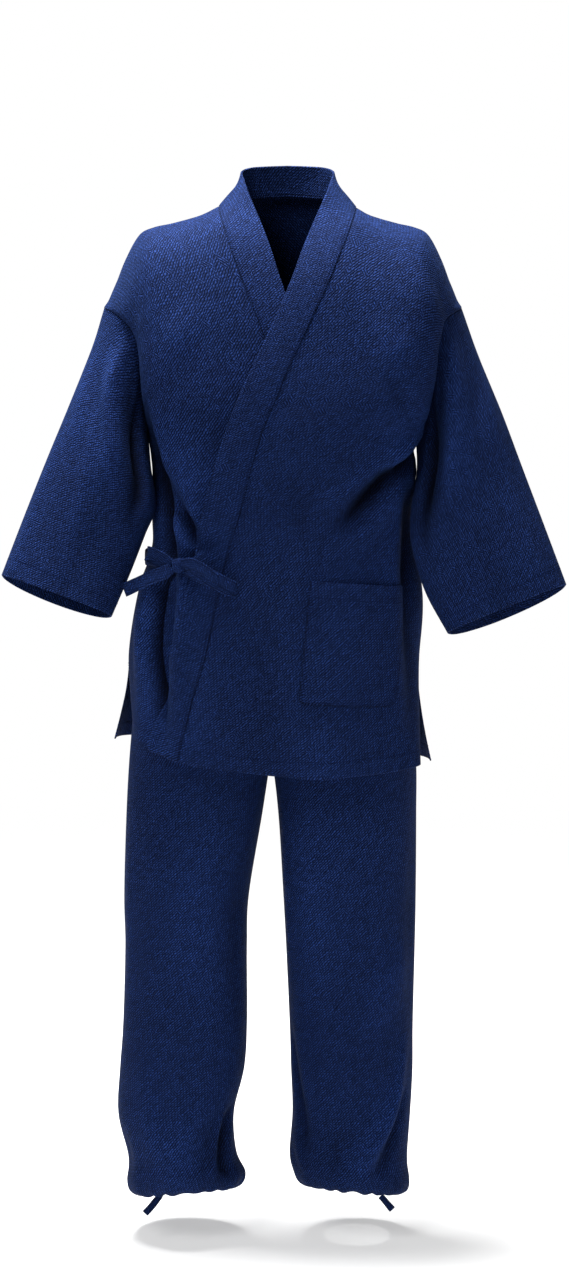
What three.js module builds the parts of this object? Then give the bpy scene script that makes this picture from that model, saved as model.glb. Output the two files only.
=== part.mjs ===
// A samue set in its worn, hollow form: wrap jacket, patch pocket, side tie and loose trousers.
// Millimetres, +Z up. The front faces -Y and the garment's own left side is +X.
// Heights in the tables are above the ground. The origin is the middle of the shoulder line.
import * as THREE from 'three';

// Driving dimensions
const HELD_HEIGHT = 1470;
const CLOTH = 2;
const BAND_CLOTH = 3;
const SEAM_GAP = 0.3;
const OVERLAP_LIFT = 4.5;
const UNDER_REACH = 0.88;
const BAND_LIFT = 1;
const POCKET_LIFT = 0.8;
const TAPE_WIDTH = 18;
const TAPE_CLOTH = 2.4;
const ANKLE_TAPE_WIDTH = 10;

// Grid of the jacket: rows below and above the underarm, columns across each panel
const LOWER_ROWS = 13;
const UPPER_ROWS = 11;
const FRONT_COLUMNS = 18;
const BACK_SIDE_COLUMNS = 10;
const NECK_COLUMNS = 10;
const SLEEVE_STEPS = 10;
const BAND_COLUMNS = 2;

// Grid of the trousers
const LEG_COLUMNS = 16;

const INDIGO = { color: 0x1b2b5c, roughness: 0.9, metalness: 0 };
const INDIGO_BAND = { color: 0x1a2957, roughness: 0.88, metalness: 0 };
const INDIGO_TAPE = { color: 0x20326b, roughness: 0.85, metalness: 0 };

// Jacket levels. level 0 is the hem, 1 the underarm and 2 the shoulder line. height is taken at
// the middle, front and back are depths from the side seam plane, round squares the section.
const JACKET_LEVELS = [
  { level: 0.00, height: 700, front: 147, back: 136, right: 197, left: 203, round: 2.7 },
  { level: 0.15, height: 770, front: 143, back: 134, right: 203, left: 202, round: 2.6 },
  { level: 0.32, height: 850, front: 138, back: 129, right: 206, left: 201, round: 2.5 },
  { level: 0.50, height: 930, front: 132, back: 121, right: 195, left: 203, round: 2.5 },
  { level: 0.65, height: 1000, front: 129, back: 113, right: 176, left: 193, round: 2.5 },
  { level: 0.78, height: 1060, front: 131, back: 112, right: 171, left: 187, round: 2.6 },
  { level: 1.00, height: 1165, front: 136, back: 118, right: 184, left: 189, round: 3.0 },
  { level: 1.17, height: 1225, front: 134, back: 122, right: 190, left: 200, round: 4.2 },
  { level: 1.33, height: 1283, front: 126, back: 121, right: 196, left: 205, round: 4.6 },
  { level: 1.50, height: 1338, front: 114, back: 114, right: 202, left: 206, round: 4.6 },
  { level: 1.65, height: 1386, front: 98, back: 101, right: 212, left: 212, round: 4.0 },
  { level: 1.78, height: 1425, front: 79, back: 83, right: 227, left: 219, round: 3.4 },
  { level: 1.88, height: 1453, front: 56, back: 62, right: 240, left: 231, round: 3.0 },
  { level: 1.95, height: 1469, front: 28, back: 38, right: 251, left: 239, round: 2.8 },
  { level: 2.00, height: 1478, front: -6, back: 6, right: 255, left: 242, round: 2.8 },
];

// Armhole seam: how far its front and back edges stand off the side seam plane, and its height
const ARMHOLE = [
  { level: 1.00, front: 0, back: 0, height: 1165 },
  { level: 1.17, front: 34, back: 30, height: 1200 },
  { level: 1.33, front: 54, back: 46, height: 1240 },
  { level: 1.50, front: 63, back: 54, height: 1280 },
  { level: 1.65, front: 64, back: 55, height: 1306 },
  { level: 1.78, front: 55, back: 48, height: 1322 },
  { level: 1.88, front: 38, back: 34, height: 1330 },
  { level: 1.95, front: 18, back: 18, height: 1334 },
  { level: 2.00, front: -4, back: 4, height: 1336 },
];

// Shape of the shoulder from neck to the dropped sleeve seam: drop by share of the quarter turn
const SHOULDER = [
  { turn: 0.00, drop: 0.00 },
  { turn: 0.22, drop: 0.02 },
  { turn: 0.30, drop: 0.11 },
  { turn: 0.39, drop: 0.18 },
  { turn: 0.46, drop: 0.22 },
  { turn: 0.52, drop: 0.29 },
  { turn: 0.60, drop: 0.54 },
  { turn: 0.67, drop: 0.76 },
  { turn: 0.78, drop: 0.94 },
  { turn: 1.00, drop: 1.00 },
];

// The body leans a little: x of the middle of the jacket at each level
const LEAN = [
  { level: 0.0, x: -6 },
  { level: 0.5, x: -5 },
  { level: 0.78, x: -1 },
  { level: 1.2, x: 4 },
  { level: 1.5, x: 9 },
  { level: 2.0, x: 12 },
];

// Hem line, as height above the lowest level at each share of the half width
const FRONT_HEM = [
  { across: -1.0, rise: 50 },
  { across: -0.84, rise: 31 },
  { across: -0.62, rise: 18 },
  { across: -0.35, rise: 11 },
  { across: 0.0, rise: 2 },
  { across: 0.3, rise: -1 },
  { across: 0.7, rise: 3 },
  { across: 1.0, rise: 7 },
];
const BACK_HEM = [
  { across: -1.0, rise: 22 },
  { across: -0.5, rise: 14 },
  { across: 0.0, rise: 6 },
  { across: 0.5, rise: -2 },
  { across: 1.0, rise: -10 },
];

// Side slits: how the free edges move from the side seam towards the hem
const SLIT_LEVEL = 0.29;
const FRONT_SLIT = { away: 60 };
const BACK_SLIT = { away: 52, right: 34, left: 22 };

// Wrapped fronts: seam of the band and its free edge, from the middle, on the front's own side
const WRAP = [
  { height: 700, seam: -131, edge: -172 },
  { height: 790, seam: -112, edge: -154 },
  { height: 851, seam: -96, edge: -139 },
  { height: 936, seam: -79, edge: -122 },
  { height: 999, seam: -67, edge: -112 },
  { height: 1060, seam: -51, edge: -101 },
  { height: 1123, seam: -37, edge: -86 },
  { height: 1179, seam: -21, edge: -70 },
  { height: 1219, seam: -5, edge: -56 },
  { height: 1259, seam: 10, edge: -39 },
  { height: 1299, seam: 27, edge: -22 },
  { height: 1343, seam: 46, edge: -4 },
  { height: 1383, seam: 63, edge: 11 },
  { height: 1413, seam: 74, edge: 21 },
  { height: 1450, seam: 87, edge: 35 },
  { height: 1466, seam: 92, edge: 40 },
  { height: 1478, seam: 95, edge: 43 },
];

// Collar where it leaves the chest and stands round the neck: its free edge by level
const COLLAR_RISE = [
  { level: 1.78, free: 0.00, x: 32, y: -76, height: 1438 },
  { level: 1.86, free: 0.30, x: 42, y: -56, height: 1462 },
  { level: 1.93, free: 0.75, x: 51, y: -34, height: 1484 },
  { level: 1.97, free: 1.00, x: 57, y: -14, height: 1500 },
  { level: 2.00, free: 1.00, x: 61, y: 4, height: 1512 },
];

// Neckline behind the shoulder line: how the cloth climbs to the nape, and how wide that is
const NAPE = { reach: 108, backwards: 64, upwards: 12, backStart: 1.5, frontStart: 1.86, power: 2.6 };

// Free edge of the collar from the shoulder line (0) to the centre back (1)
const COLLAR_BACK = [
  { turn: 0.00, x: 61, y: 4, height: 1512 },
  { turn: 0.30, x: 64, y: 30, height: 1524 },
  { turn: 0.60, x: 50, y: 52, height: 1530 },
  { turn: 0.80, x: 27, y: 62, height: 1532 },
  { turn: 1.00, x: 0, y: 65, height: 1533 },
];

// Sleeves from the armhole to the cuff: outer and inner edge, and depths before and behind
const SLEEVE_RIGHT = [
  { along: 0.22, outX: 262, outY: -4, outZ: 1275, inX: 177, inY: -42, inZ: 1118, front: 54, back: 62 },
  { along: 0.42, outX: 292, outY: -18, outZ: 1200, inX: 170, inY: -56, inZ: 1066, front: 54, back: 60 },
  { along: 0.62, outX: 322, outY: -34, outZ: 1127, inX: 185, inY: -54, inZ: 1026, front: 57, back: 52 },
  { along: 0.82, outX: 354, outY: -52, outZ: 1046, inX: 206, inY: -62, inZ: 972, front: 54, back: 47 },
  { along: 1.00, outX: 383, outY: -70, outZ: 970, inX: 230, inY: -86, inZ: 916, front: 48, back: 47 },
];
const SLEEVE_LEFT = [
  { along: 0.22, outX: 281, outY: -6, outZ: 1260, inX: 191, inY: -34, inZ: 1112, front: 58, back: 58 },
  { along: 0.42, outX: 310, outY: -20, outZ: 1190, inX: 181, inY: -70, inZ: 1058, front: 52, back: 58 },
  { along: 0.62, outX: 338, outY: -36, outZ: 1115, inX: 182, inY: -90, inZ: 1012, front: 48, back: 54 },
  { along: 0.82, outX: 368, outY: -54, outZ: 1035, inX: 201, inY: -93, inZ: 950, front: 49, back: 48 },
  { along: 1.00, outX: 397, outY: -70, outZ: 957, inX: 232, inY: -90, inZ: 893, front: 48, back: 47 },
];
const CUFF_FRONT_TILT = 0.2;
const CUFF_BACK_TILT = 0.42;

// Trouser sections: inner and outer edge from the centre plane, depths, from waist to turned hem
const LEG_RIGHT = [
  { height: 1068, inner: -148, outer: 148, front: 112, back: 98, middle: -5 },
  { height: 1000, inner: -120, outer: 162, front: 116, back: 106, middle: -7 },
  { height: 900, inner: -62, outer: 184, front: 112, back: 114.2, middle: -9 },
  { height: 800, inner: -18, outer: 192, front: 106, back: 118.2, middle: -11 },
  { height: 705, inner: 0, outer: 201, front: 94, back: 110, middle: -11 },
  { height: 622, inner: 13, outer: 206, front: 92, back: 98, middle: -11 },
  { height: 506, inner: 32, outer: 210, front: 85, back: 90, middle: -11 },
  { height: 431, inner: 35, outer: 209, front: 81, back: 86, middle: -11 },
  { height: 318, inner: 35, outer: 213, front: 78, back: 84, middle: -11 },
  { height: 252, inner: 39, outer: 218, front: 77, back: 84, middle: -11 },
  { height: 186, inner: 54, outer: 221, front: 75, back: 84, middle: -11 },
  { height: 126, inner: 51, outer: 207, front: 74, back: 84, middle: -11 },
  { height: 96, inner: 38, outer: 209, front: 74, back: 83, middle: -11 },
  { height: 79, inner: 43, outer: 204, front: 67, back: 74, middle: -11 },
  { height: 72, inner: 60, outer: 188, front: 52, back: 60, middle: -11 },
  { height: 80, inner: 74, outer: 172, front: 42, back: 48, middle: -11 },
];
const LEG_LEFT = [
  { height: 1068, inner: -148, outer: 148, front: 112, back: 98, middle: -5 },
  { height: 1000, inner: -120, outer: 166, front: 116, back: 106, middle: -7 },
  { height: 900, inner: -62, outer: 188, front: 112, back: 114.2, middle: -9 },
  { height: 800, inner: -18, outer: 195, front: 106, back: 118.2, middle: -11 },
  { height: 705, inner: 0, outer: 205, front: 94, back: 110, middle: -11 },
  { height: 622, inner: 10, outer: 206, front: 92, back: 98, middle: -11 },
  { height: 506, inner: 17, outer: 206, front: 85, back: 90, middle: -11 },
  { height: 431, inner: 21, outer: 205, front: 81, back: 86, middle: -11 },
  { height: 318, inner: 26, outer: 203, front: 78, back: 84, middle: -11 },
  { height: 252, inner: 28, outer: 203, front: 77, back: 84, middle: -11 },
  { height: 186, inner: 30, outer: 200, front: 75, back: 84, middle: -11 },
  { height: 126, inner: 26, outer: 196, front: 74, back: 84, middle: -11 },
  { height: 99, inner: 31, outer: 199, front: 74, back: 83, middle: -11 },
  { height: 81, inner: 40, outer: 196, front: 67, back: 74, middle: -11 },
  { height: 74, inner: 58, outer: 178, front: 52, back: 60, middle: -11 },
  { height: 82, inner: 72, outer: 164, front: 42, back: 48, middle: -11 },
];
const LEG_ROUND = 2.2;
const HEM_TILT = 0.25;
const HEM_OUTER_DROP = 12;
const HEM_GATHER = 3;
const HEM_GATHER_ROWS = 3;
const TURN_UNDER_AXIS = 40;
const HEM_TILT_PLACES = { none: 10, full: 12 };

// Grid steps in each stretch between two rows of the leg tables
const LEG_STEPS = [1, 1, 2, 2, 2, 1, 1, 2, 1, 1, 2, 1, 1, 1, 1];

// Waistband ring above the leg panels
const WAISTBAND = { low: 1068, high: 1100, narrowing: 3, columns: 56, gather: 2 };

// Patch pocket corners, from the middle of the jacket
const POCKET = {
  left: 47, right: 175, top: 968, bottom: 802, fall: 12, slant: 14, columns: 10, rows: 8, gape: 3,
};

// Tie at the garment's right: the middle line of each tape, in x, y and height, and its lean
const KNOT = { x: -137, y: -116, z: 988, width: 18, height: 19, depth: 17, waist: 0.12, boxy: 3.2 };
const FRONT_TIE = [
  { x: -121, y: -113, z: 989, lean: 0 },
  { x: -123.6, y: -113.2, z: 989, lean: 0 },
  { x: -126.4, y: -113.4, z: 989, lean: 0 },
];
const SIDE_TIE = [
  { x: -185, y: -3, z: 992, lean: 0 },
  { x: -186, y: -26, z: 991, lean: 0 },
  { x: -181, y: -54, z: 990, lean: 0 },
  { x: -169, y: -82, z: 989, lean: 0 },
  { x: -154, y: -101.5, z: 988, lean: 0 },
  { x: -145.4, y: -110, z: 988, lean: 0 },
];
const FRONT_LOOP = [
  { x: -128, y: -122, z: 988, lean: 10 },
  { x: -117, y: -131, z: 987, lean: 16 },
  { x: -102, y: -138, z: 982, lean: 20 },
  { x: -84, y: -143, z: 973, lean: 20 },
  { x: -68, y: -145, z: 964, lean: 16 },
  { x: -59, y: -142, z: 957, lean: 10 },
  { x: -63, y: -138, z: 956, lean: 6 },
  { x: -80, y: -135, z: 963, lean: 6 },
  { x: -100, y: -130, z: 972, lean: 6 },
  { x: -117, y: -124, z: 979, lean: 6 },
  { x: -127.4, y: -116, z: 983, lean: 6 },
];
const FRONT_TAIL = [
  { x: -131.2, y: -124.9, z: 991, lean: 8 },
  { x: -118, y: -137, z: 992, lean: 20 },
  { x: -105, y: -144, z: 987, lean: 22 },
  { x: -95, y: -147.5, z: 980, lean: 22 },
  { x: -86, y: -149, z: 973, lean: 22 },
];
const SIDE_LOOP = [
  { x: -147.5, y: -117, z: 990, lean: 0 },
  { x: -157, y: -110, z: 996, lean: -10 },
  { x: -169, y: -98, z: 1001, lean: -10 },
  { x: -179, y: -84, z: 1002, lean: 0 },
  { x: -180.5, y: -76, z: 1000, lean: 0 },
  { x: -175, y: -82, z: 996, lean: 0 },
  { x: -163, y: -98, z: 992, lean: 0 },
  { x: -147.3, y: -113, z: 988, lean: 0 },
];
const SIDE_TAIL = [
  { x: -146.6, y: -121.6, z: 984, lean: 0 },
  { x: -157, y: -118.5, z: 978, lean: 8 },
  { x: -176, y: -109, z: 970, lean: 10 },
  { x: -195, y: -97, z: 960, lean: 6 },
  { x: -213, y: -88, z: 951, lean: 0 },
];
const ANKLE_TAPE_RIGHT = [
  { x: -170.5, y: -34, z: 71.9, lean: 0 },
  { x: -177.5, y: -38, z: 63.5, lean: 0 },
  { x: -185, y: -41, z: 55, lean: 0 },
  { x: -192, y: -43, z: 48, lean: 0 },
];
const ANKLE_TAPE_LEFT = [
  { x: 146, y: -36, z: 70.9, lean: 0 },
  { x: 151, y: -39, z: 66, lean: 0 },
  { x: 156, y: -42, z: 60.5, lean: 0 },
  { x: 162, y: -44, z: 54, lean: 0 },
];

// Folds of the jacket, placed in front view from the middle. rise is outwards, width its half width
const FRONT_FOLDS = [
  { name: 'diagonal at the garment\'s right', kind: 'ledge', rows: [
    { x: -176, height: 1215, rise: 0, width: 20 },
    { x: -164, height: 1172, rise: 8, width: 22 },
    { x: -148, height: 1130, rise: 11, width: 22 },
    { x: -128, height: 1090, rise: 9, width: 20 },
    { x: -104, height: 1045, rise: 0, width: 18 },
  ] },
  { name: 'armpit ledge at the garment\'s left', kind: 'ledge', rows: [
    { x: 198, height: 1206, rise: 0, width: 18 },
    { x: 184, height: 1170, rise: 7, width: 18 },
    { x: 168, height: 1138, rise: 9, width: 20 },
    { x: 152, height: 1106, rise: 0, width: 20 },
  ] },
  { name: 'oblique trough at the garment\'s left', kind: 'ridge', rows: [
    { x: 172, height: 1142, rise: 0, width: 22 },
    { x: 140, height: 1108, rise: -7, width: 22 },
    { x: 108, height: 1076, rise: -6, width: 24 },
    { x: 80, height: 1046, rise: 0, width: 24 },
  ] },
  { name: 'trough beside the band', kind: 'ridge', rows: [
    { x: -150, height: 980, rise: 0, width: 16 },
    { x: -150, height: 920, rise: -6, width: 16 },
    { x: -154, height: 860, rise: -5, width: 16 },
    { x: -150, height: 800, rise: 0, width: 16 },
  ] },
];
const BACK_FOLDS = [
  { name: 'hollow below the right shoulder blade', kind: 'ridge', rows: [
    { x: -150, height: 1330, rise: 0, width: 22 },
    { x: -146, height: 1240, rise: -8, width: 24 },
    { x: -134, height: 1120, rise: -8, width: 24 },
    { x: -118, height: 1010, rise: 0, width: 22 },
  ] },
  { name: 'hollow below the left shoulder blade', kind: 'ridge', rows: [
    { x: 158, height: 1320, rise: 0, width: 22 },
    { x: 150, height: 1220, rise: -9, width: 24 },
    { x: 136, height: 1100, rise: -7, width: 26 },
    { x: 128, height: 990, rise: 0, width: 22 },
  ] },
  { name: 'soft ridge at the waist', kind: 'ridge', rows: [
    { x: -120, height: 1000, rise: 0, width: 20 },
    { x: -60, height: 985, rise: 5, width: 18 },
    { x: 30, height: 992, rise: 4, width: 18 },
    { x: 100, height: 1010, rise: 0, width: 20 },
  ] },
];

// Folds of the sleeves: turn is the angle round the tube from its outer edge by way of the front
const SLEEVE_FOLDS = [
  { rows: [
    { turn: 60, along: 0.02, rise: 0, width: 16 },
    { turn: 76, along: 0.18, rise: 9, width: 17 },
    { turn: 92, along: 0.38, rise: 9, width: 17 },
    { turn: 104, along: 0.62, rise: 0, width: 18 },
  ] },
  { rows: [
    { turn: 104, along: 0.05, rise: 0, width: 16 },
    { turn: 120, along: 0.22, rise: -8, width: 17 },
    { turn: 132, along: 0.45, rise: -7, width: 18 },
    { turn: 138, along: 0.66, rise: 0, width: 18 },
  ] },
  { rows: [
    { turn: 30, along: 0.22, rise: 0, width: 14 },
    { turn: 44, along: 0.40, rise: 5, width: 16 },
    { turn: 52, along: 0.58, rise: 0, width: 16 },
  ] },
  { rows: [
    { turn: 300, along: 0.08, rise: 0, width: 18 },
    { turn: 270, along: 0.30, rise: -7, width: 20 },
    { turn: 240, along: 0.55, rise: 0, width: 20 },
  ] },
];

// Folds of the legs: turn is the angle round the leg, 0 inner, 90 front, 180 outer, 270 back
const LEG_RIGHT_FOLDS = [
  { rows: [
    { turn: 60, height: 230, rise: 0, width: 18 },
    { turn: 84, height: 170, rise: 6, width: 18 },
    { turn: 96, height: 110, rise: 7, width: 18 },
    { turn: 100, height: 60, rise: 0, width: 18 },
  ] },
  { rows: [
    { turn: 30, height: 215, rise: 0, width: 16 },
    { turn: 44, height: 160, rise: -7, width: 16 },
    { turn: 52, height: 105, rise: -5, width: 16 },
    { turn: 60, height: 66, rise: 0, width: 16 },
  ] },
  { rows: [
    { turn: 76, height: 640, rise: 0, width: 20 },
    { turn: 80, height: 480, rise: 5, width: 22 },
    { turn: 74, height: 330, rise: 0, width: 22 },
  ] },
  { rows: [
    { turn: 262, height: 680, rise: 0, width: 22 },
    { turn: 268, height: 470, rise: -6, width: 22 },
    { turn: 258, height: 240, rise: 5, width: 22 },
    { turn: 262, height: 110, rise: 0, width: 20 },
  ] },
];
const LEG_LEFT_FOLDS = [
  { rows: [
    { turn: 136, height: 250, rise: 0, width: 18 },
    { turn: 118, height: 190, rise: 7, width: 17 },
    { turn: 100, height: 120, rise: 6, width: 17 },
    { turn: 92, height: 64, rise: 0, width: 16 },
  ] },
  { rows: [
    { turn: 142, height: 460, rise: 0, width: 18 },
    { turn: 124, height: 380, rise: 5, width: 18 },
    { turn: 110, height: 310, rise: 0, width: 18 },
  ] },
  { rows: [
    { turn: 48, height: 660, rise: 0, width: 20 },
    { turn: 54, height: 500, rise: 5, width: 20 },
    { turn: 50, height: 330, rise: 0, width: 20 },
  ] },
  { rows: [
    { turn: 280, height: 690, rise: 0, width: 22 },
    { turn: 274, height: 480, rise: -6, width: 22 },
    { turn: 284, height: 250, rise: 5, width: 22 },
    { turn: 278, height: 110, rise: 0, width: 20 },
  ] },
];

const SIDE_ANGLE = Math.PI / 2;

// Small maths
const mix = (a, b, share) => a + (b - a) * share;
const clamp = (value, low, high) => Math.min(high, Math.max(low, value));

function smooth(low, high, value) {
  const share = clamp((value - low) / (high - low), 0, 1);
  return share * share * (3 - 2 * share);
}

// Value of one column of a table at a place between its rows, on a smooth curve
function read(table, key, place, column) {
  const last = table.length - 1;
  const rising = table[last][key] > table[0][key];
  const at = (index) => table[clamp(index, 0, last)];
  const inside = clamp(place, Math.min(table[0][key], table[last][key]), Math.max(table[0][key], table[last][key]));
  let row = 0;
  while (row < last - 1 && (rising ? inside > table[row + 1][key] : inside < table[row + 1][key])) row += 1;
  const [p0, p1, p2, p3] = [at(row - 1), at(row), at(row + 1), at(row + 2)];
  const span = p2[key] - p1[key];
  const share = (inside - p1[key]) / span;
  const slope = (a, b) => (b[key] === a[key] ? 0 : (b[column] - a[column]) / (b[key] - a[key]));
  const m1 = (row === 0 ? slope(p1, p2) : slope(p0, p2)) * span;
  const m2 = (row + 1 === last ? slope(p1, p2) : slope(p1, p3)) * span;
  const s2 = share * share;
  const s3 = s2 * share;
  return (2 * s3 - 3 * s2 + 1) * p1[column] + (s3 - 2 * s2 + share) * m1
    + (3 * s2 - 2 * s3) * p2[column] + (s3 - s2) * m2;
}

// Unit section: a rounded square of the given roundness, at an angle from its front
function section(angle, round) {
  const s = Math.sin(angle);
  const c = Math.cos(angle);
  const reach = (Math.abs(s) ** round + Math.abs(c) ** round) ** (-1 / round);
  return [s * reach, c * reach];
}

// Angle on the unit section at a share of its half width
function sectionAngle(across, round) {
  const side = clamp(Math.abs(across), 0, 1);
  const depth = (1 - side ** round) ** (1 / round);
  return Math.sign(across) * Math.atan2(side, depth);
}

// Outward rise of a list of folds at a place in front view
function foldRise(folds, x, z) {
  let total = 0;
  for (const fold of folds) {
    let best = { distance: Infinity, side: 0, rise: 0, width: 1 };
    for (let index = 0; index + 1 < fold.rows.length; index += 1) {
      const a = fold.rows[index];
      const b = fold.rows[index + 1];
      const dx = b.x - a.x;
      const dz = b.height - a.height;
      const share = clamp(((x - a.x) * dx + (z - a.height) * dz) / (dx * dx + dz * dz), 0, 1);
      const offX = x - mix(a.x, b.x, share);
      const offZ = z - mix(a.height, b.height, share);
      const distance = Math.hypot(offX, offZ);
      if (distance < best.distance) {
        const side = Math.sign(offX * dz - offZ * dx) || 1;
        best = { distance, side, rise: mix(a.rise, b.rise, share), width: mix(a.width, b.width, share) };
      }
    }
    const reach = best.distance / best.width;
    if (fold.kind === 'ledge') {
      const below = x < 0 ? best.side > 0 : best.side < 0;
      total += best.rise * (below ? ledgeBelow(reach) : Math.exp(-((reach / 1.6) ** 2)));
    } else {
      total += best.rise * Math.exp(-reach * reach);
    }
  }
  return total;
}

// The cloth falls back below a ledge and then comes out again
function ledgeBelow(reach) {
  const step = smooth(0, 0.8, reach);
  return mix(1, -0.9 * Math.exp(-((Math.max(0, reach - 0.8) / 1.5) ** 2)), step);
}

// Rise of folds given by an angle round a tube and a place along it
function turnRise(folds, turn, place, key) {
  let total = 0;
  for (const fold of folds) {
    const low = Math.min(fold.rows[0][key], fold.rows[fold.rows.length - 1][key]);
    const high = Math.max(fold.rows[0][key], fold.rows[fold.rows.length - 1][key]);
    if (place <= low || place >= high) continue;
    const centre = read(fold.rows, key, place, 'turn');
    const width = read(fold.rows, key, place, 'width');
    const off = ((turn - centre + 540) % 360) - 180;
    total += Math.max(-12, Math.min(12, read(fold.rows, key, place, 'rise'))) * Math.exp(-((off / width) ** 2));
  }
  return total;
}

// Closed solids from grids of points

function closedMesh(name, points, faces, look) {
  const geometry = new THREE.BufferGeometry();
  geometry.setAttribute('position', new THREE.Float32BufferAttribute(points.flat(), 3));
  geometry.setIndex(faces.flat());
  geometry.computeVertexNormals();
  const mesh = new THREE.Mesh(geometry, new THREE.MeshStandardMaterial(look));
  mesh.name = name;
  return mesh;
}

function signedVolume(points, faces) {
  let total = 0;
  for (const [a, b, c] of faces) {
    const [p, q, r] = [points[a], points[b], points[c]];
    total += p[0] * (q[1] * r[2] - q[2] * r[1]) - p[1] * (q[0] * r[2] - q[2] * r[0])
      + p[2] * (q[0] * r[1] - q[1] * r[0]);
  }
  return total;
}

// A wall between an outer and an inner grid. wrap joins the last column to the first. Its edges are
// split by their place in space, so that the edges of two walls at one seam are split alike.
function wall(name, outer, inner, look, wrap = false) {
  const rows = outer.length;
  const columns = outer[0].length;
  const points = [...outer.flat(), ...inner.flat()];
  const under = rows * columns;
  const faces = [];
  const at = (row, column) => row * columns + (column % columns);
  const quad = (a, b, c, d) => faces.push([a, b, c], [a, c, d]);
  const high = (index) => points[index][2] + 0.37 * points[index][0] + 0.11 * points[index][1];
  const edge = (a, b, c, d) => (high(a) > high(b) ? quad(a, b, c, d) : quad(b, c, d, a));
  const lastColumn = wrap ? columns : columns - 1;
  for (let row = 0; row + 1 < rows; row += 1) {
    for (let column = 0; column < lastColumn; column += 1) {
      const [a, b] = [at(row, column), at(row, column + 1)];
      const [c, d] = [at(row + 1, column + 1), at(row + 1, column)];
      quad(a, b, c, d);
      quad(under + a, under + d, under + c, under + b);
    }
  }
  for (let column = 0; column < lastColumn; column += 1) {
    const [a, b] = [at(0, column), at(0, column + 1)];
    const [c, d] = [at(rows - 1, column), at(rows - 1, column + 1)];
    edge(b, a, under + a, under + b);
    edge(c, d, under + d, under + c);
  }
  if (!wrap) {
    for (let row = 0; row + 1 < rows; row += 1) {
      const [a, b] = [at(row, 0), at(row + 1, 0)];
      const [c, d] = [at(row, columns - 1), at(row + 1, columns - 1)];
      edge(a, b, under + b, under + a);
      edge(d, c, under + c, under + d);
    }
  }
  const turned = signedVolume(points, faces) < 0 ? faces.map(([a, b, c]) => [a, c, b]) : faces;
  return closedMesh(name, points, turned, look);
}

function grid(rows, columns, point) {
  return Array.from({ length: rows }, (_, row) => Array.from({ length: columns }, (__, column) => point(row, column)));
}

const add = (p, n, distance) => [p[0] + n[0] * distance, p[1] + n[1] * distance, p[2] + n[2] * distance];

// Unit normal of a surface of two parameters, turned away from the axis of the body or limb
function surfaceNormal(surface, u, v, stepU, stepV, axis) {
  const a = surface(u - stepU, v);
  const b = surface(u + stepU, v);
  const c = surface(u, v - stepV);
  const d = surface(u, v + stepV);
  const across = new THREE.Vector3(b[0] - a[0], b[1] - a[1], b[2] - a[2]);
  const along = new THREE.Vector3(d[0] - c[0], d[1] - c[1], d[2] - c[2]);
  const normal = across.cross(along).normalize();
  const middle = surface(u, v);
  const away = new THREE.Vector3(middle[0] - axis[0], middle[1] - axis[1], middle[2] - axis[2]);
  if (normal.dot(away) < 0) normal.negate();
  return normal.toArray();
}

// Jacket form. face is -1 at the front and 1 at the back, angle runs from the middle to a side.
// Past the side seam or the shoulder line it goes on over the other face.
function jacketBase(face, angle, level) {
  if (level > 2) return jacketBase(-face, angle, 4 - level);
  if (Math.abs(angle) > SIDE_ANGLE) {
    const joined = level >= SLIT_LEVEL && level <= 1;
    const past = Math.sign(angle) * (joined ? 2 * SIDE_ANGLE - Math.abs(angle) : SIDE_ANGLE);
    return jacketBase(joined ? -face : face, past, level);
  }
  const side = Math.sign(angle) || 1;
  const round = read(JACKET_LEVELS, 'level', level, 'round');
  const softer = face > 0 ? Math.min(round, 3.2) : round;
  const [across, depth] = section(angle, softer);
  const half = read(JACKET_LEVELS, 'level', level, side < 0 ? 'right' : 'left');
  const upper = level > 1;
  const open = Math.max(0, (SLIT_LEVEL - level) / SLIT_LEVEL) ** 1.5;
  const slit = face < 0 ? FRONT_SLIT : BACK_SLIT;
  const edgeDepth = upper ? read(ARMHOLE, 'level', level, face < 0 ? 'front' : 'back') : slit.away * open;
  const middleDepth = read(JACKET_LEVELS, 'level', level, face < 0 ? 'front' : 'back');
  const height = read(JACKET_LEVELS, 'level', level, 'height');
  let x = read(LEAN, 'level', level, 'x') + half * across;
  let y = face * mix(edgeDepth, middleDepth, Math.abs(depth));
  let z = height;
  if (upper) {
    const drop = read(SHOULDER, 'turn', Math.abs(angle) / SIDE_ANGLE, 'drop');
    z = mix(height, read(ARMHOLE, 'level', level, 'height'), drop);
  } else {
    const hem = face < 0 ? FRONT_HEM : BACK_HEM;
    z += read(hem, 'across', across, 'rise') * (1 - smooth(0, 0.4, level));
  }
  if (face > 0) x += side * BACK_SLIT[side < 0 ? 'right' : 'left'] * open * smooth(0.55, 1, Math.abs(across));
  const napeStart = face > 0 ? NAPE.backStart : NAPE.frontStart;
  if (level > napeStart) {
    const inNeck = (1 - Math.min(1, Math.abs(half * across) / NAPE.reach) ** 2) ** 1.2;
    const rise = ((level - napeStart) / (2 - napeStart)) ** NAPE.power * inNeck;
    y += rise * NAPE.backwards;
    z += rise * NAPE.upwards;
  }
  return [x, y, z];
}

function jacketAxis(level) {
  const height = read(JACKET_LEVELS, 'level', level, 'height');
  return [read(LEAN, 'level', level, 'x'), 0, level > 1 ? mix(height, 1150, smooth(1, 2, level)) : height];
}

// Jacket form with its folds
function jacketFolded(face, angle, level) {
  const point = jacketBase(face, angle, level);
  const base = (u, v) => jacketBase(face, u, v);
  const normal = surfaceNormal(base, angle, level, 0.01, 0.01, jacketAxis(level));
  const middle = read(LEAN, 'level', level, 'x');
  const edge = 1 - smooth(1.12, 1.48, Math.abs(angle));
  const rise = foldRise(face < 0 ? FRONT_FOLDS : BACK_FOLDS, point[0] - middle, point[2]) * edge;
  return add(point, normal, rise);
}

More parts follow.
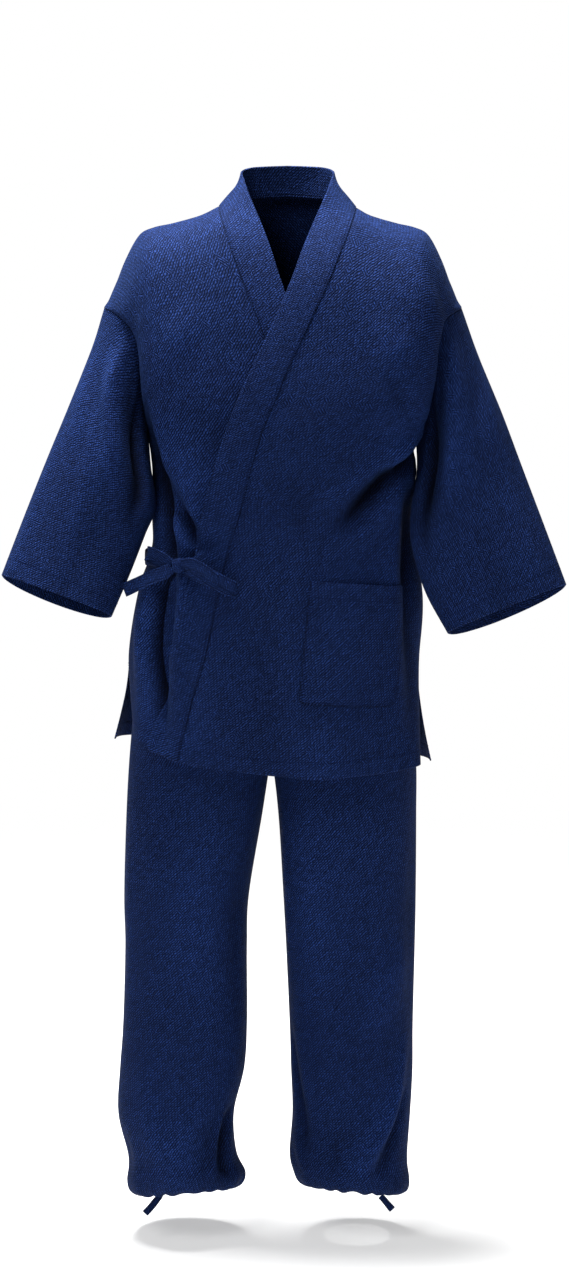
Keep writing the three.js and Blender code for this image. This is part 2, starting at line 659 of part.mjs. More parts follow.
// Length that keeps a mitred wall at its thickness, at most this many times longer
const MITRE_LIMIT = 1.5;
const UNDERARM_NORMAL = [0, 0, -MITRE_LIMIT];

// Shared direction of two walls that meet at a seam
function mitre(normalA, normalB) {
  const a = new THREE.Vector3(...normalA);
  const b = new THREE.Vector3(...normalB);
  const sum = a.clone().add(b);
  if (sum.length() < 0.05) sum.set(0, 0, -1);
  sum.normalize();
  return sum.multiplyScalar(Math.min(MITRE_LIMIT, 1 / Math.max(0.1, sum.dot(a)))).toArray();
}

// A point raised off the jacket form
function jacketPoint(face, angle, level, lift) {
  const surface = (u, v) => jacketFolded(face, u, v);
  let normal = surfaceNormal(surface, angle, level, 0.012, 0.012, jacketAxis(level));
  if (level >= 1 && Math.abs(angle) > SIDE_ANGLE - 0.01) {
    const joined = sleeveNormal(Math.sign(angle), armholeTurn(face, level), 0);
    normal = level === 1 ? UNDERARM_NORMAL : mitre(normal, joined);
  }
  return add(jacketFolded(face, angle, level), normal, lift);
}

const JACKET_ROWS = [
  ...Array.from({ length: LOWER_ROWS }, (_, row) => row / LOWER_ROWS),
  ...Array.from({ length: UPPER_ROWS + 1 }, (_, row) => 1 + row / UPPER_ROWS),
];

// Angle on the front at a distance from the middle
function frontAngle(distance, level) {
  const half = read(JACKET_LEVELS, 'level', level, distance < 0 ? 'right' : 'left');
  return sectionAngle(distance / half, read(JACKET_LEVELS, 'level', level, 'round'));
}

function wrapLine(column, level, side) {
  const line = read(WRAP, 'height', read(JACKET_LEVELS, 'level', level, 'height'), column);
  return side * line * (side < 0 && line < 0 ? UNDER_REACH : 1);
}

// The overlapping front lies on the other one, and comes down at its own side and its shoulder
function wrapLift(side, angle, level) {
  if (side < 0) return 0;
  return OVERLAP_LIFT * (1 - smooth(1.1, 1.5, angle)) * (1 - smooth(1.58, 1.86, level));
}

// Moves a grid's edge row or column back from its seam, towards the next one
function drawBack(points, amount, edges) {
  const rows = points.length;
  const columns = points[0].length;
  const shift = (p, q) => {
    const length = Math.hypot(q[0] - p[0], q[1] - p[1], q[2] - p[2]);
    return p.map((value, index) => value + (q[index] - value) * Math.min(0.4, amount / length));
  };
  const moved = points.map((row) => row.map((point) => [...point]));
  for (let column = 0; column < columns; column += 1) {
    if (edges.includes('first row')) moved[0][column] = shift(points[0][column], points[1][column]);
    if (edges.includes('last row')) moved[rows - 1][column] = shift(points[rows - 1][column], points[rows - 2][column]);
  }
  for (let row = 0; row < rows; row += 1) {
    if (edges.includes('first column')) moved[row][0] = shift(moved[row][0], moved[row][1]);
    if (edges.includes('last column')) moved[row][columns - 1] = shift(moved[row][columns - 1], moved[row][columns - 2]);
  }
  return moved;
}

function frontPanel(name, side) {
  const rows = JACKET_ROWS.length;
  const skin = (lift) => drawBack(grid(rows, FRONT_COLUMNS + 1, (row, column) => {
    const level = JACKET_ROWS[row];
    const start = frontAngle(wrapLine('seam', level, side), level) * side;
    const angle = side * mix(start, SIDE_ANGLE, column / FRONT_COLUMNS);
    return jacketPoint(-1, angle, level, lift + wrapLift(side, side * angle, level));
  }), SEAM_GAP / 2, ['last row', 'first column', 'last column']);
  return wall(name, skin(0), skin(-CLOTH), INDIGO);
}

// Angles of the back's columns: the neck stretch in the middle, a shoulder stretch on each side
function backAngle(column) {
  const side = column < 0 ? -1 : 1;
  const neck = frontAngle(wrapLine('seam', 2, side), 2);
  const past = Math.abs(column) - NECK_COLUMNS / 2;
  if (past <= 0) return (Math.abs(column) / (NECK_COLUMNS / 2)) * neck;
  return mix(neck, side * SIDE_ANGLE, past / BACK_SIDE_COLUMNS);
}

function backPanel(name) {
  const reach = NECK_COLUMNS / 2 + BACK_SIDE_COLUMNS;
  const skin = (lift) => drawBack(grid(JACKET_ROWS.length, 2 * reach + 1, (row, column) => (
    jacketPoint(1, backAngle(column - reach), JACKET_ROWS[row], lift)
  )), SEAM_GAP / 2, ['last row', 'first column', 'last column']);
  return wall(name, skin(0), skin(-CLOTH), INDIGO);
}

// Sleeves. turn goes round the tube: 0 outer edge, 90 front, 180 inner edge, 270 back

// Place on the armhole at a turn: its face and jacket level
function armholePlace(turn) {
  const face = turn <= 180 ? -1 : 1;
  return { face, level: 2 - (face < 0 ? turn : 360 - turn) / 180 };
}

function armholeTurn(face, level) {
  const turn = (2 - level) * 180;
  return face < 0 ? turn : 360 - turn;
}

function sleeveRing(side, row, turn) {
  const a = (turn * Math.PI) / 180;
  const c = Math.cos(a);
  const s = Math.sin(a);
  const depth = s > 0 ? row.front * s : row.back * s;
  const tilt = s > 0 ? CUFF_FRONT_TILT : CUFF_BACK_TILT;
  return [
    side * mix(row.inX, row.outX, (1 + c) / 2),
    mix(row.inY, row.outY, (1 + c) / 2) - depth,
    mix(row.inZ, row.outZ, (1 + c) / 2) + tilt * depth,
  ];
}

// Sleeve form: a smooth way from the armhole through the rings to the cuff
function sleeveBase(side, turn, along) {
  const around = ((turn % 360) + 360) % 360;
  const { face, level } = armholePlace(around);
  const start = jacketBase(face, side * SIDE_ANGLE, level);
  const rows = side < 0 ? SLEEVE_RIGHT : SLEEVE_LEFT;
  const stations = [
    { along: 0, x: start[0], y: start[1], z: start[2] },
    ...rows.map((row) => {
      const [x, y, z] = sleeveRing(side, row, around);
      return { along: row.along, x, y, z };
    }),
  ];
  return ['x', 'y', 'z'].map((column) => read(stations, 'along', along, column));
}

function sleeveAxis(side, along) {
  const outer = sleeveBase(side, 0, along);
  const inner = sleeveBase(side, 180, along);
  return outer.map((value, index) => (value + inner[index]) / 2);
}

function sleeveNormal(side, turn, along) {
  const at = clamp(along, 0.02, 0.98);
  const surface = (u, v) => sleeveBase(side, u, v);
  return surfaceNormal(surface, turn, at, 2, 0.02, sleeveAxis(side, at));
}

function sleevePoint(side, turn, along, lift) {
  const rise = turnRise(SLEEVE_FOLDS, turn, along, 'along');
  const normal = sleeveNormal(side, turn, along);
  return add(sleeveBase(side, turn, along), normal, lift + rise);
}

function sleeve(name, side) {
  const columns = 2 * UPPER_ROWS;
  const skin = (lift) => {
    const points = grid(SLEEVE_STEPS + 1, columns, (step, column) => {
      const turn = (360 * column) / columns;
      if (step > 0) return sleevePoint(side, turn, step / SLEEVE_STEPS, lift);
      const { face, level } = armholePlace(turn);
      return jacketPoint(face, side * SIDE_ANGLE, level, lift);
    });
    return drawBack(points, SEAM_GAP / 2, ['first row']);
  };
  return wall(name, skin(0), skin(-CLOTH), INDIGO, true);
}

// Collar band: from one hem up the front, round the neck and down the other front

// Seam and free edge of the band on a front, at a jacket level
function bandEdges(side, level, lift) {
  const seamAngle = frontAngle(wrapLine('seam', level, side), level);
  const edgeAngle = frontAngle(wrapLine('edge', level, side), level);
  const seam = jacketPoint(-1, seamAngle, level, lift + wrapLift(side, side * seamAngle, level));
  const lying = jacketPoint(-1, edgeAngle, level, lift + wrapLift(side, side * edgeAngle, level));
  const free = smooth(0, 1, level < COLLAR_RISE[0].level ? 0 : read(COLLAR_RISE, 'level', level, 'free'));
  if (free === 0) return { seam, edge: lying };
  const middle = read(LEAN, 'level', level, 'x');
  const stand = [
    middle + side * read(COLLAR_RISE, 'level', level, 'x'),
    read(COLLAR_RISE, 'level', level, 'y'),
    read(COLLAR_RISE, 'level', level, 'height'),
  ];
  return { seam, edge: lying.map((value, index) => mix(value, stand[index], free)) };
}

// Seam and free edge of the collar behind the shoulder line, on a column of the back
function napeEdges(column) {
  const turn = 1 - Math.abs(column) / (NECK_COLUMNS / 2);
  const middle = read(LEAN, 'level', 2, 'x');
  const at = (key) => read(COLLAR_BACK, 'turn', turn, key);
  return {
    seam: jacketPoint(1, backAngle(column), 2, 0),
    edge: [middle + Math.sign(column) * at('x'), at('y'), at('height')],
  };
}

function collar(name) {
  const front = (side) => JACKET_ROWS.slice(0, -1).map((level) => bandEdges(side, level, 0));
  const reach = NECK_COLUMNS / 2;
  const nape = Array.from({ length: NECK_COLUMNS + 1 }, (_, step) => napeEdges(step - reach));
  const lines = [...front(-1), ...nape, ...front(1).reverse()];
  const centre = lines.map(({ seam, edge }) => Array.from({ length: BAND_COLUMNS + 1 }, (_, column) => (
    seam.map((value, index) => mix(value, edge[index], column / BAND_COLUMNS))
  )));
  const neck = [read(LEAN, 'level', 2, 'x'), 10, HELD_HEIGHT - 60];
  const normals = centre.map((line, row) => line.map((_, column) => {
    const surface = (u, v) => centre[clamp(u, 0, centre.length - 1)][clamp(v, 0, BAND_COLUMNS)];
    const height = centre[row][0][2];
    const axis = height < neck[2] ? [neck[0], 0, height] : neck;
    return surfaceNormal(surface, row, column, 1, 1, axis);
  }));
  const skin = (lift) => drawBack(
    centre.map((line, row) => line.map((point, column) => add(point, normals[row][column], lift))),
    SEAM_GAP,
    ['first column'],
  );
  return wall(name, skin(BAND_LIFT), skin(BAND_LIFT - BAND_CLOTH), INDIGO_BAND);
}

// Trousers. turn goes round a leg from its inner edge (0) to its outer edge (180), by the front or
// by the back, and past them on to the other face
function legRows(side) {
  return (side < 0 ? LEG_RIGHT : LEG_LEFT).map((row, index) => ({ ...row, place: index }));
}

function legBase(side, face, turn, place) {
  if (turn > 180) return legBase(side, -face, 360 - turn, place);
  const rows = legRows(side);
  const inner = read(rows, 'place', place, 'inner');
  const outer = read(rows, 'place', place, 'outer');
  const centre = (inner + outer) / 2;
  const half = (outer - inner) / 2;
  const open = inner < 0;
  if (turn < 0) return open ? legBase(side, face, 0, place) : legBase(side, -face, -turn, place);
  const begin = open ? Math.acos(clamp(centre / half, -1, 1)) : 0;
  const angle = mix(begin, Math.PI, turn / 180);
  const [across, depth] = section(angle - SIDE_ANGLE, LEG_ROUND);
  const y = face * read(rows, 'place', place, face < 0 ? 'front' : 'back') * Math.max(0, depth);
  const tilt = HEM_TILT * y + (HEM_OUTER_DROP * (1 + across)) / 2;
  return [
    read(rows, 'place', place, 'middle') + side * Math.max(0, centre + half * across),
    y,
    read(rows, 'place', place, 'height') - tilt * smooth(HEM_TILT_PLACES.none, HEM_TILT_PLACES.full, place),
  ];
}

function legPoint(side, face, turn, place, lift) {
  const rows = legRows(side);
  const base = (u, v) => legBase(side, face, u, clamp(v, 0, rows.length - 1));
  const inner = read(rows, 'place', place, 'inner');
  const centre = (Math.max(0, inner) + read(rows, 'place', place, 'outer')) / 2;
  const height = read(rows, 'place', place, 'height');
  const turned = place > rows.length - 2.6;
  const axis = [read(rows, 'place', place, 'middle') + side * centre, 0, height + (turned ? TURN_UNDER_AXIS : 0)];
  const normal = surfaceNormal(base, turn, place, 4, 0.08, axis);
  if (inner <= 0 && turn === 0) {
    normal[0] = 0;
    const length = Math.hypot(...normal);
    normal.forEach((value, index) => { normal[index] = value / length; });
  }
  const folds = side < 0 ? LEG_RIGHT_FOLDS : LEG_LEFT_FOLDS;
  const around = face < 0 ? turn : 360 - turn;
  const rise = turned ? 0 : turnRise(folds, around, height, 'height') * smooth(0, 20, turn);
  return add(base(turn, place), normal, lift + rise);
}

const LEG_LAST = LEG_RIGHT.length - 1;

// Rows of the leg grid: some in each stretch between the rows of the table
const LEG_PLACES = [
  ...LEG_STEPS.flatMap((steps, row) => Array.from({ length: steps }, (_, step) => row + step / steps)),
  LEG_LAST,
];

function legPanel(name, side, face) {
  const rows = LEG_PLACES.length;
  const skin = (lift) => drawBack(grid(rows, LEG_COLUMNS + 1, (row, column) => {
    const gatherShare = smooth(rows - 1 - HEM_GATHER_ROWS, rows - 1, row);
    const wave = column > 0 && column < LEG_COLUMNS ? (column % 2 ? 1 : -1) * HEM_GATHER * gatherShare : 0;
    return legPoint(side, face, (180 * column) / LEG_COLUMNS, LEG_PLACES[row], lift + wave);
  }), SEAM_GAP / 2, ['first row', 'first column', 'last column']);
  return wall(name, skin(0), skin(-CLOTH), INDIGO);
}

// Waistband: a gathered ring on top of the leg panels
function waistband(name) {
  const { low, high, narrowing, columns, gather } = WAISTBAND;
  const top = LEG_RIGHT[0];
  const skin = (lift) => grid(3, columns, (row, column) => {
    const angle = (2 * Math.PI * column) / columns;
    const [across, depth] = section(angle, LEG_ROUND);
    const height = mix(low + SEAM_GAP, high, row / 2);
    const wave = (column % 2 ? 0 : -gather) * (row / 2);
    const draw = lift + wave - narrowing * (row / 2);
    return [
      top.middle + (top.outer + draw) * across,
      depth > 0 ? -(top.front + draw) * depth : -(top.back + draw) * depth,
      height,
    ];
  });
  return wall(name, skin(0), skin(-BAND_CLOTH), INDIGO_BAND, true);
}

// Patch pocket on the overlapping front, its mouth a little open
function pocket(name) {
  const { left, right, top, bottom, fall, slant, columns, rows, gape } = POCKET;
  const skin = (lift) => grid(rows + 1, columns + 1, (row, column) => {
    const across = column / columns;
    const up = row / rows;
    const level = read(JACKET_LEVELS, 'height', mix(bottom, top, up) - fall * across, 'level');
    const distance = mix(left, right, across) - slant * (1 - up);
    const angle = frontAngle(distance, level);
    const open = gape * smooth(0.8, 1, up) * Math.sin(Math.PI * across);
    return jacketPoint(-1, angle, level, wrapLift(1, angle, level) + POCKET_LIFT + open + lift);
  });
  return wall(name, skin(CLOTH), skin(0), INDIGO);
}

// Flat tape along a smooth way through the rows of a table. lean turns its width from upright
function tape(name, rows, width, steps) {
  const way = new THREE.CatmullRomCurve3(rows.map(({ x, y, z }) => new THREE.Vector3(x, y, z)), false, 'centripetal');
  const up = new THREE.Vector3(0, 0, 1);
  const sections = Array.from({ length: steps + 1 }, (_, step) => {
    const share = step / steps;
    const point = way.getPoint(share);
    const along = way.getTangent(share);
    const place = share * (rows.length - 1);
    const row = Math.min(rows.length - 2, Math.floor(place));
    const lean = THREE.MathUtils.degToRad(mix(rows[row].lean, rows[row + 1].lean, place - row));
    const upright = up.clone().addScaledVector(along, -up.dot(along)).normalize();
    const across = along.clone().cross(upright);
    const wide = upright.clone().multiplyScalar(Math.cos(lean)).addScaledVector(across, Math.sin(lean));
    const thick = along.clone().cross(wide).normalize();
    return { point, wide, thick };
  });
  const side = (sign) => sections.map(({ point, wide, thick }) => [-0.5, 0.5].map((edge) => (
    point.clone().addScaledVector(wide, edge * width).addScaledVector(thick, (sign * TAPE_CLOTH) / 2).toArray()
  )));
  return wall(name, side(1), side(-1), INDIGO_TAPE);
}

// Knot of the bow: a boxy rounded lump, waisted where the tape wraps it
function knot(name) {
  const { x, y, z, width, height, depth, waist, boxy } = KNOT;
  const ball = new THREE.SphereGeometry(1, 14, 9);
  const places = ball.attributes.position;
  const points = [];
  for (let index = 0; index < places.count; index += 1) {
    const ballPoint = [places.getX(index), places.getY(index), places.getZ(index)];
    const reach = ballPoint.reduce((sum, value) => sum + Math.abs(value) ** boxy, 0) ** (1 / boxy);
    const [a, b, c] = ballPoint.map((value) => value / reach);
    const pinch = 1 - waist * Math.exp(-((a / 0.35) ** 2));
    points.push([x + (a * width) / 2, y + (c * depth * pinch) / 2, z + (b * height * pinch) / 2]);
  }
  const order = ball.index.array;
  const faces = [];
  for (let index = 0; index < order.length; index += 3) faces.push([order[index], order[index + 1], order[index + 2]]);
  const turned = signedVolume(points, faces) < 0 ? faces.map(([p, q, r]) => [p, r, q]) : faces;
  return closedMesh(name, points, turned, INDIGO_TAPE);
}

const parts = [
  backPanel('jacket_back'),
  frontPanel('jacket_front_right', -1),
  frontPanel('jacket_front_left', 1),
  sleeve('sleeve_right', -1),
  sleeve('sleeve_left', 1),
  collar('collar'),
  pocket('pocket'),
  legPanel('trouser_front_right', -1, -1),
  legPanel('trouser_back_right', -1, 1),
  legPanel('trouser_front_left', 1, -1),
  legPanel('trouser_back_left', 1, 1),
  waistband('waistband'),
  tape('front_tie', FRONT_TIE, TAPE_WIDTH, 3),
  tape('side_tie', SIDE_TIE, TAPE_WIDTH, 10),
  knot('bow_knot'),
  tape('bow_loop_front', FRONT_LOOP, TAPE_WIDTH, 24),
  tape('bow_tail_front', FRONT_TAIL, TAPE_WIDTH, 10),
  tape('bow_loop_side', SIDE_LOOP, TAPE_WIDTH, 18),
  tape('bow_tail_side', SIDE_TAIL, TAPE_WIDTH, 10),
  tape('ankle_tape_right', ANKLE_TAPE_RIGHT, ANKLE_TAPE_WIDTH, 8),
  tape('ankle_tape_left', ANKLE_TAPE_LEFT, ANKLE_TAPE_WIDTH, 8),
];

const garment = new THREE.Group();
for (const part of parts) garment.add(part);
garment.position.z = -HELD_HEIGHT;

const samue = new THREE.Group();
samue.add(garment);
export default samue;
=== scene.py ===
# Indigo samue set: cloth panels, collar band, pocket, side tie and ankle tapes
import math

import bpy
import numpy as np
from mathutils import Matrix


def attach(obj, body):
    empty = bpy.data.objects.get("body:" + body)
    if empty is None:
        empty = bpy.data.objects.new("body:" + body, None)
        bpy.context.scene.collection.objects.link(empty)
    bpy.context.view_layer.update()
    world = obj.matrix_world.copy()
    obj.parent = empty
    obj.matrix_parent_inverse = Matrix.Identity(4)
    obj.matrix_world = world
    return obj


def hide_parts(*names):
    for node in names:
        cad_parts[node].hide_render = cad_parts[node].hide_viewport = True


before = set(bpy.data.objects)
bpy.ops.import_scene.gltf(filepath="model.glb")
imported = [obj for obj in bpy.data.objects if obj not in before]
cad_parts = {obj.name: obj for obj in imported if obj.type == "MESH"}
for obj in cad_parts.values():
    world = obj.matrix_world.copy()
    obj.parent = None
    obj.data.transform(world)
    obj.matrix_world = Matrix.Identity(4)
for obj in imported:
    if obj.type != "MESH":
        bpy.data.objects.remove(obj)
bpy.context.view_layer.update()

bpy.ops.object.select_all(action="DESELECT")
quarter = math.pi / 2
heldHeight = 1470  # mm from the ground up to the shoulder line, where the origin is


# Small maths. Tables and forms are in mm, with heights above the ground
def mix(a, b, share):
    return a + (b - a) * share


def smooth(low, high, value):
    share = np.clip((value - low) / (high - low), 0, 1)
    return share * share * (3 - 2 * share)


def bell(value):
    return np.exp(-value * value)


def table(names, rows):
    return {name: np.array(column, float) for name, column in zip(names.split(), zip(*rows))}


# Smooth curve through values at keys. Each value may be a whole grid of numbers
def follow(keys, values, place):
    keys, values = np.asarray(keys, float), np.asarray(values, float)
    if keys[-1] < keys[0]:
        keys, values = keys[::-1], values[::-1]
    place = np.clip(place, keys[0], keys[-1])
    row = np.clip(np.searchsorted(keys, place, side="right") - 1, 0, len(keys) - 2)
    gaps = np.diff(keys)
    shape = (-1,) + (1,) * (values.ndim - 1)
    secant = np.diff(values, axis=0) / gaps.reshape(shape)
    middle = (values[2:] - values[:-2]) / (keys[2:] - keys[:-2]).reshape(shape)
    tangent = np.concatenate([secant[:1], middle, secant[-1:]])

    def pick(array, at):
        return array[at] if array.ndim == 1 else np.take_along_axis(array, at[None], 0)[0]

    gap = gaps[row]
    share = (place - keys[row]) / gap
    s2, s3 = share**2, share**3
    return (
        (2 * s3 - 3 * s2 + 1) * pick(values, row)
        + (s3 - 2 * s2 + share) * pick(tangent, row) * gap
        + (3 * s2 - 2 * s3) * pick(values, row + 1)
        + (s3 - s2) * pick(tangent, row + 1) * gap
    )


def read(rows, key, place, column):
    return follow(rows[key], rows[column], place)


def unit(vector):
    return vector / np.maximum(np.linalg.norm(vector, axis=-1, keepdims=True), 1e-9)


# Point on a rounded square, at an angle from its front
def section(angle, roundness):
    s, c = np.sin(angle), np.cos(angle)
    reach = (np.abs(s) ** roundness + np.abs(c) ** roundness) ** (-1 / roundness)
    return s * reach, c * reach


def sectionAngle(across, roundness):
    side = np.clip(np.abs(across), 0, 1)
    return np.sign(across) * np.arctan2(side, (1 - side**roundness) ** (1 / roundness))


def surfaceNormal(surface, u, v, stepU, stepV, axis):
    across = surface(u + stepU, v) - surface(u - stepU, v)
    along = surface(u, v + stepV) - surface(u, v - stepV)
    normal = unit(np.cross(across, along))
    away = np.sum(normal * (surface(u, v) - axis), axis=-1, keepdims=True)
    return np.where(away < 0, -normal, normal)


# Rise of folds drawn in front view: each is a kind and rows of x, height, rise, half width
def foldRise(folds, x, z):
    total = np.zeros(np.broadcast(x, z).shape)
    for kind, rows in folds:
        best, side = np.full(total.shape, np.inf), np.ones(total.shape)
        rise, width = np.zeros(total.shape), np.ones(total.shape)
        for (ax, az, ar, aw), (bx, bz, br, bw) in zip(rows, rows[1:]):
            dx, dz = bx - ax, bz - az
            share = np.clip(((x - ax) * dx + (z - az) * dz) / (dx * dx + dz * dz), 0, 1)
            offX, offZ = x - mix(ax, bx, share), z - mix(az, bz, share)
            distance = np.hypot(offX, offZ)
            near = distance < best
            best = np.where(near, distance, best)
            side = np.where(near, np.where(offX * dz - offZ * dx < 0, -1, 1), side)
            rise = np.where(near, mix(ar, br, share), rise)
            width = np.where(near, mix(aw, bw, share), width)
        reach = best / width
        if kind == "ledge":  # the cloth falls back below it and then comes out again
            below = np.where(x < 0, side > 0, side < 0)
            back = mix(1, -0.9 * bell(np.maximum(0, reach - 0.8) / 1.5), smooth(0, 0.8, reach))
            total += rise * np.where(below, back, bell(reach / 1.6))
        elif kind == "crease":  # a valley between two soft lips
            total += rise * (bell(reach) - 0.4 * bell((reach - 2.3) / 1.1))
        else:
            total += rise * bell(reach)
    return total


# Rise of folds on a tube: rows of angle round it, place along it, rise, half width in degrees
def turnRise(folds, turn, place):
    total = np.zeros(np.broadcast(turn, place).shape)
    for rows in folds:
        rows = table("turn place rise width", rows)
        low, high = rows["place"].min(), rows["place"].max()
        off = (turn - read(rows, "place", place, "turn") + 540) % 360 - 180
        rise = np.clip(read(rows, "place", place, "rise"), -12, 12)
        inside = (place > low) & (place < high)
        total += np.where(inside, rise * bell(off / read(rows, "place", place, "width")), 0)
    return total


# Weave and sewing: shader groups, then one material for each finish
def mathNode(tree, operation, *values):
    node = tree.nodes.new("ShaderNodeMath")
    node.operation = operation
    for socket, value in zip(node.inputs, values):
        if isinstance(value, bpy.types.NodeSocket):
            tree.links.new(value, socket)
        else:
            socket.default_value = value
    return node.outputs[0]


def ramp(tree, value, low, high, start=0.0, end=1.0):
    node = tree.nodes.new("ShaderNodeMapRange")
    node.interpolation_type = "SMOOTHSTEP"
    tree.links.new(value, node.inputs["Value"])
    node.inputs["From Min"].default_value, node.inputs["From Max"].default_value = low, high
    node.inputs["To Min"].default_value, node.inputs["To Max"].default_value = start, end
    return node.outputs["Result"]


def noise(tree, vector, scale, detail=2.0):
    node = tree.nodes.new("ShaderNodeTexNoise")
    tree.links.new(vector, node.inputs["Vector"])
    node.inputs["Scale"].default_value, node.inputs["Detail"].default_value = scale, detail
    return node.outputs["Fac"]


def newGroup(name, inputs, outputs):
    tree = bpy.data.node_groups.new(name, "ShaderNodeTree")
    for label, kind in inputs:
        tree.interface.new_socket(name=label, in_out="INPUT", socket_type=kind)
    for label, kind in outputs:
        tree.interface.new_socket(name=label, in_out="OUTPUT", socket_type=kind)
    return tree, tree.nodes.new("NodeGroupInput"), tree.nodes.new("NodeGroupOutput")


# Sizes are in metres and scales are in turns a metre. brick sets each row of grains off from the last
weaveForm = {"uneven": 0.0034, "unevenScale": 130, "brick": 0.38, "grainDepth": 0.6, "speck": 0.7,
             "patchScale": 80, "patches": (0.55, 0.66)}
sewnForm = {"seamReach": 0.0016, "stitchReach": 0.0018, "stitchDip": 0.7, "shade": 0.45}


# Raised rice-grain weave on a map in metres: short diagonal ribs, crossed the other way in patches
def riceWeaveGroup():
    tree, start, end = newGroup(
        "rice grain weave",
        [("Map", "NodeSocketVector"), ("Rib", "NodeSocketFloat"), ("Grain", "NodeSocketFloat")],
        [("Height", "NodeSocketFloat"), ("Tint", "NodeSocketFloat")],
    )
    place = start.outputs["Map"]
    split = tree.nodes.new("ShaderNodeSeparateXYZ")
    tree.links.new(place, split.inputs[0])
    uneven = mathNode(tree, "SUBTRACT", noise(tree, place, weaveForm["unevenScale"], 3), 0.5)
    wobble = mathNode(tree, "MULTIPLY", uneven, weaveForm["uneven"])
    u = mathNode(tree, "ADD", split.outputs["X"], wobble)
    v = mathNode(tree, "SUBTRACT", split.outputs["Y"], wobble)
    diagonal = 0.7071
    rising = mathNode(tree, "MULTIPLY", mathNode(tree, "ADD", u, v), diagonal)
    falling = mathNode(tree, "MULTIPLY", mathNode(tree, "SUBTRACT", u, v), diagonal)

    def wave(value):
        turned = mathNode(tree, "SINE", mathNode(tree, "MULTIPLY", value, 2 * math.pi))
        return mathNode(tree, "ADD", mathNode(tree, "MULTIPLY", turned, 0.5), 0.5)

    def grainRows(across, along):
        ribs = mathNode(tree, "DIVIDE", across, start.outputs["Rib"])
        row = mathNode(tree, "FLOOR", ribs)
        offset = mathNode(tree, "MULTIPLY", row, weaveForm["brick"])
        grains = mathNode(tree, "ADD", mathNode(tree, "DIVIDE", along, start.outputs["Grain"]), offset)
        rib = wave(mathNode(tree, "SUBTRACT", ribs, 0.25))
        depth = weaveForm["grainDepth"]
        grain = mathNode(tree, "ADD", mathNode(tree, "MULTIPLY", wave(grains), depth), 1 - depth)
        cell = tree.nodes.new("ShaderNodeCombineXYZ")
        tree.links.new(row, cell.inputs["X"])
        tree.links.new(mathNode(tree, "FLOOR", grains), cell.inputs["Y"])
        speck = tree.nodes.new("ShaderNodeTexWhiteNoise")
        speck.noise_dimensions = "2D"
        tree.links.new(cell.outputs[0], speck.inputs["Vector"])
        height = mathNode(tree, "MULTIPLY", rib, grain)
        bright = mathNode(tree, "MULTIPLY", speck.outputs["Value"], weaveForm["speck"])
        bright = mathNode(tree, "ADD", bright, 0.5)
        return height, mathNode(tree, "MULTIPLY", height, bright)

    def blend(a, b, share):
        change = mathNode(tree, "MULTIPLY", mathNode(tree, "SUBTRACT", b, a), share)
        return mathNode(tree, "ADD", a, change)

    main, crossed = grainRows(falling, rising), grainRows(rising, falling)
    patch = ramp(tree, noise(tree, place, weaveForm["patchScale"], 2), *weaveForm["patches"])
    tree.links.new(blend(main[0], crossed[0], patch), end.inputs["Height"])
    tree.links.new(blend(main[1], crossed[1], patch), end.inputs["Tint"])
    return tree


# Where cloth is sewn: it dips at a seam and along a row of stitches, and collects shade there
def sewnEdgeGroup():
    tree, start, end = newGroup(
        "sewn edge",
        [("Seam", "NodeSocketFloat"), ("Sewing", "NodeSocketFloat")],
        [("Dip", "NodeSocketFloat"), ("Shade", "NodeSocketFloat")],
    )
    seam = ramp(tree, start.outputs["Seam"], 0, sewnForm["seamReach"], 1, 0)
    sewing = mathNode(tree, "ABSOLUTE", start.outputs["Sewing"])
    line = ramp(tree, sewing, 0, sewnForm["stitchReach"], sewnForm["stitchDip"], 0)
    dip = mathNode(tree, "MAXIMUM", seam, line)
    tree.links.new(dip, end.inputs["Dip"])
    tree.links.new(mathNode(tree, "MULTIPLY", dip, sewnForm["shade"]), end.inputs["Shade"])
    return tree


riceWeave = riceWeaveGroup()
sewnEdge = sewnEdgeGroup()


def attribute(tree, name):
    node = tree.nodes.new("ShaderNodeAttribute")
    node.attribute_name = name
    return node.outputs["Fac"]


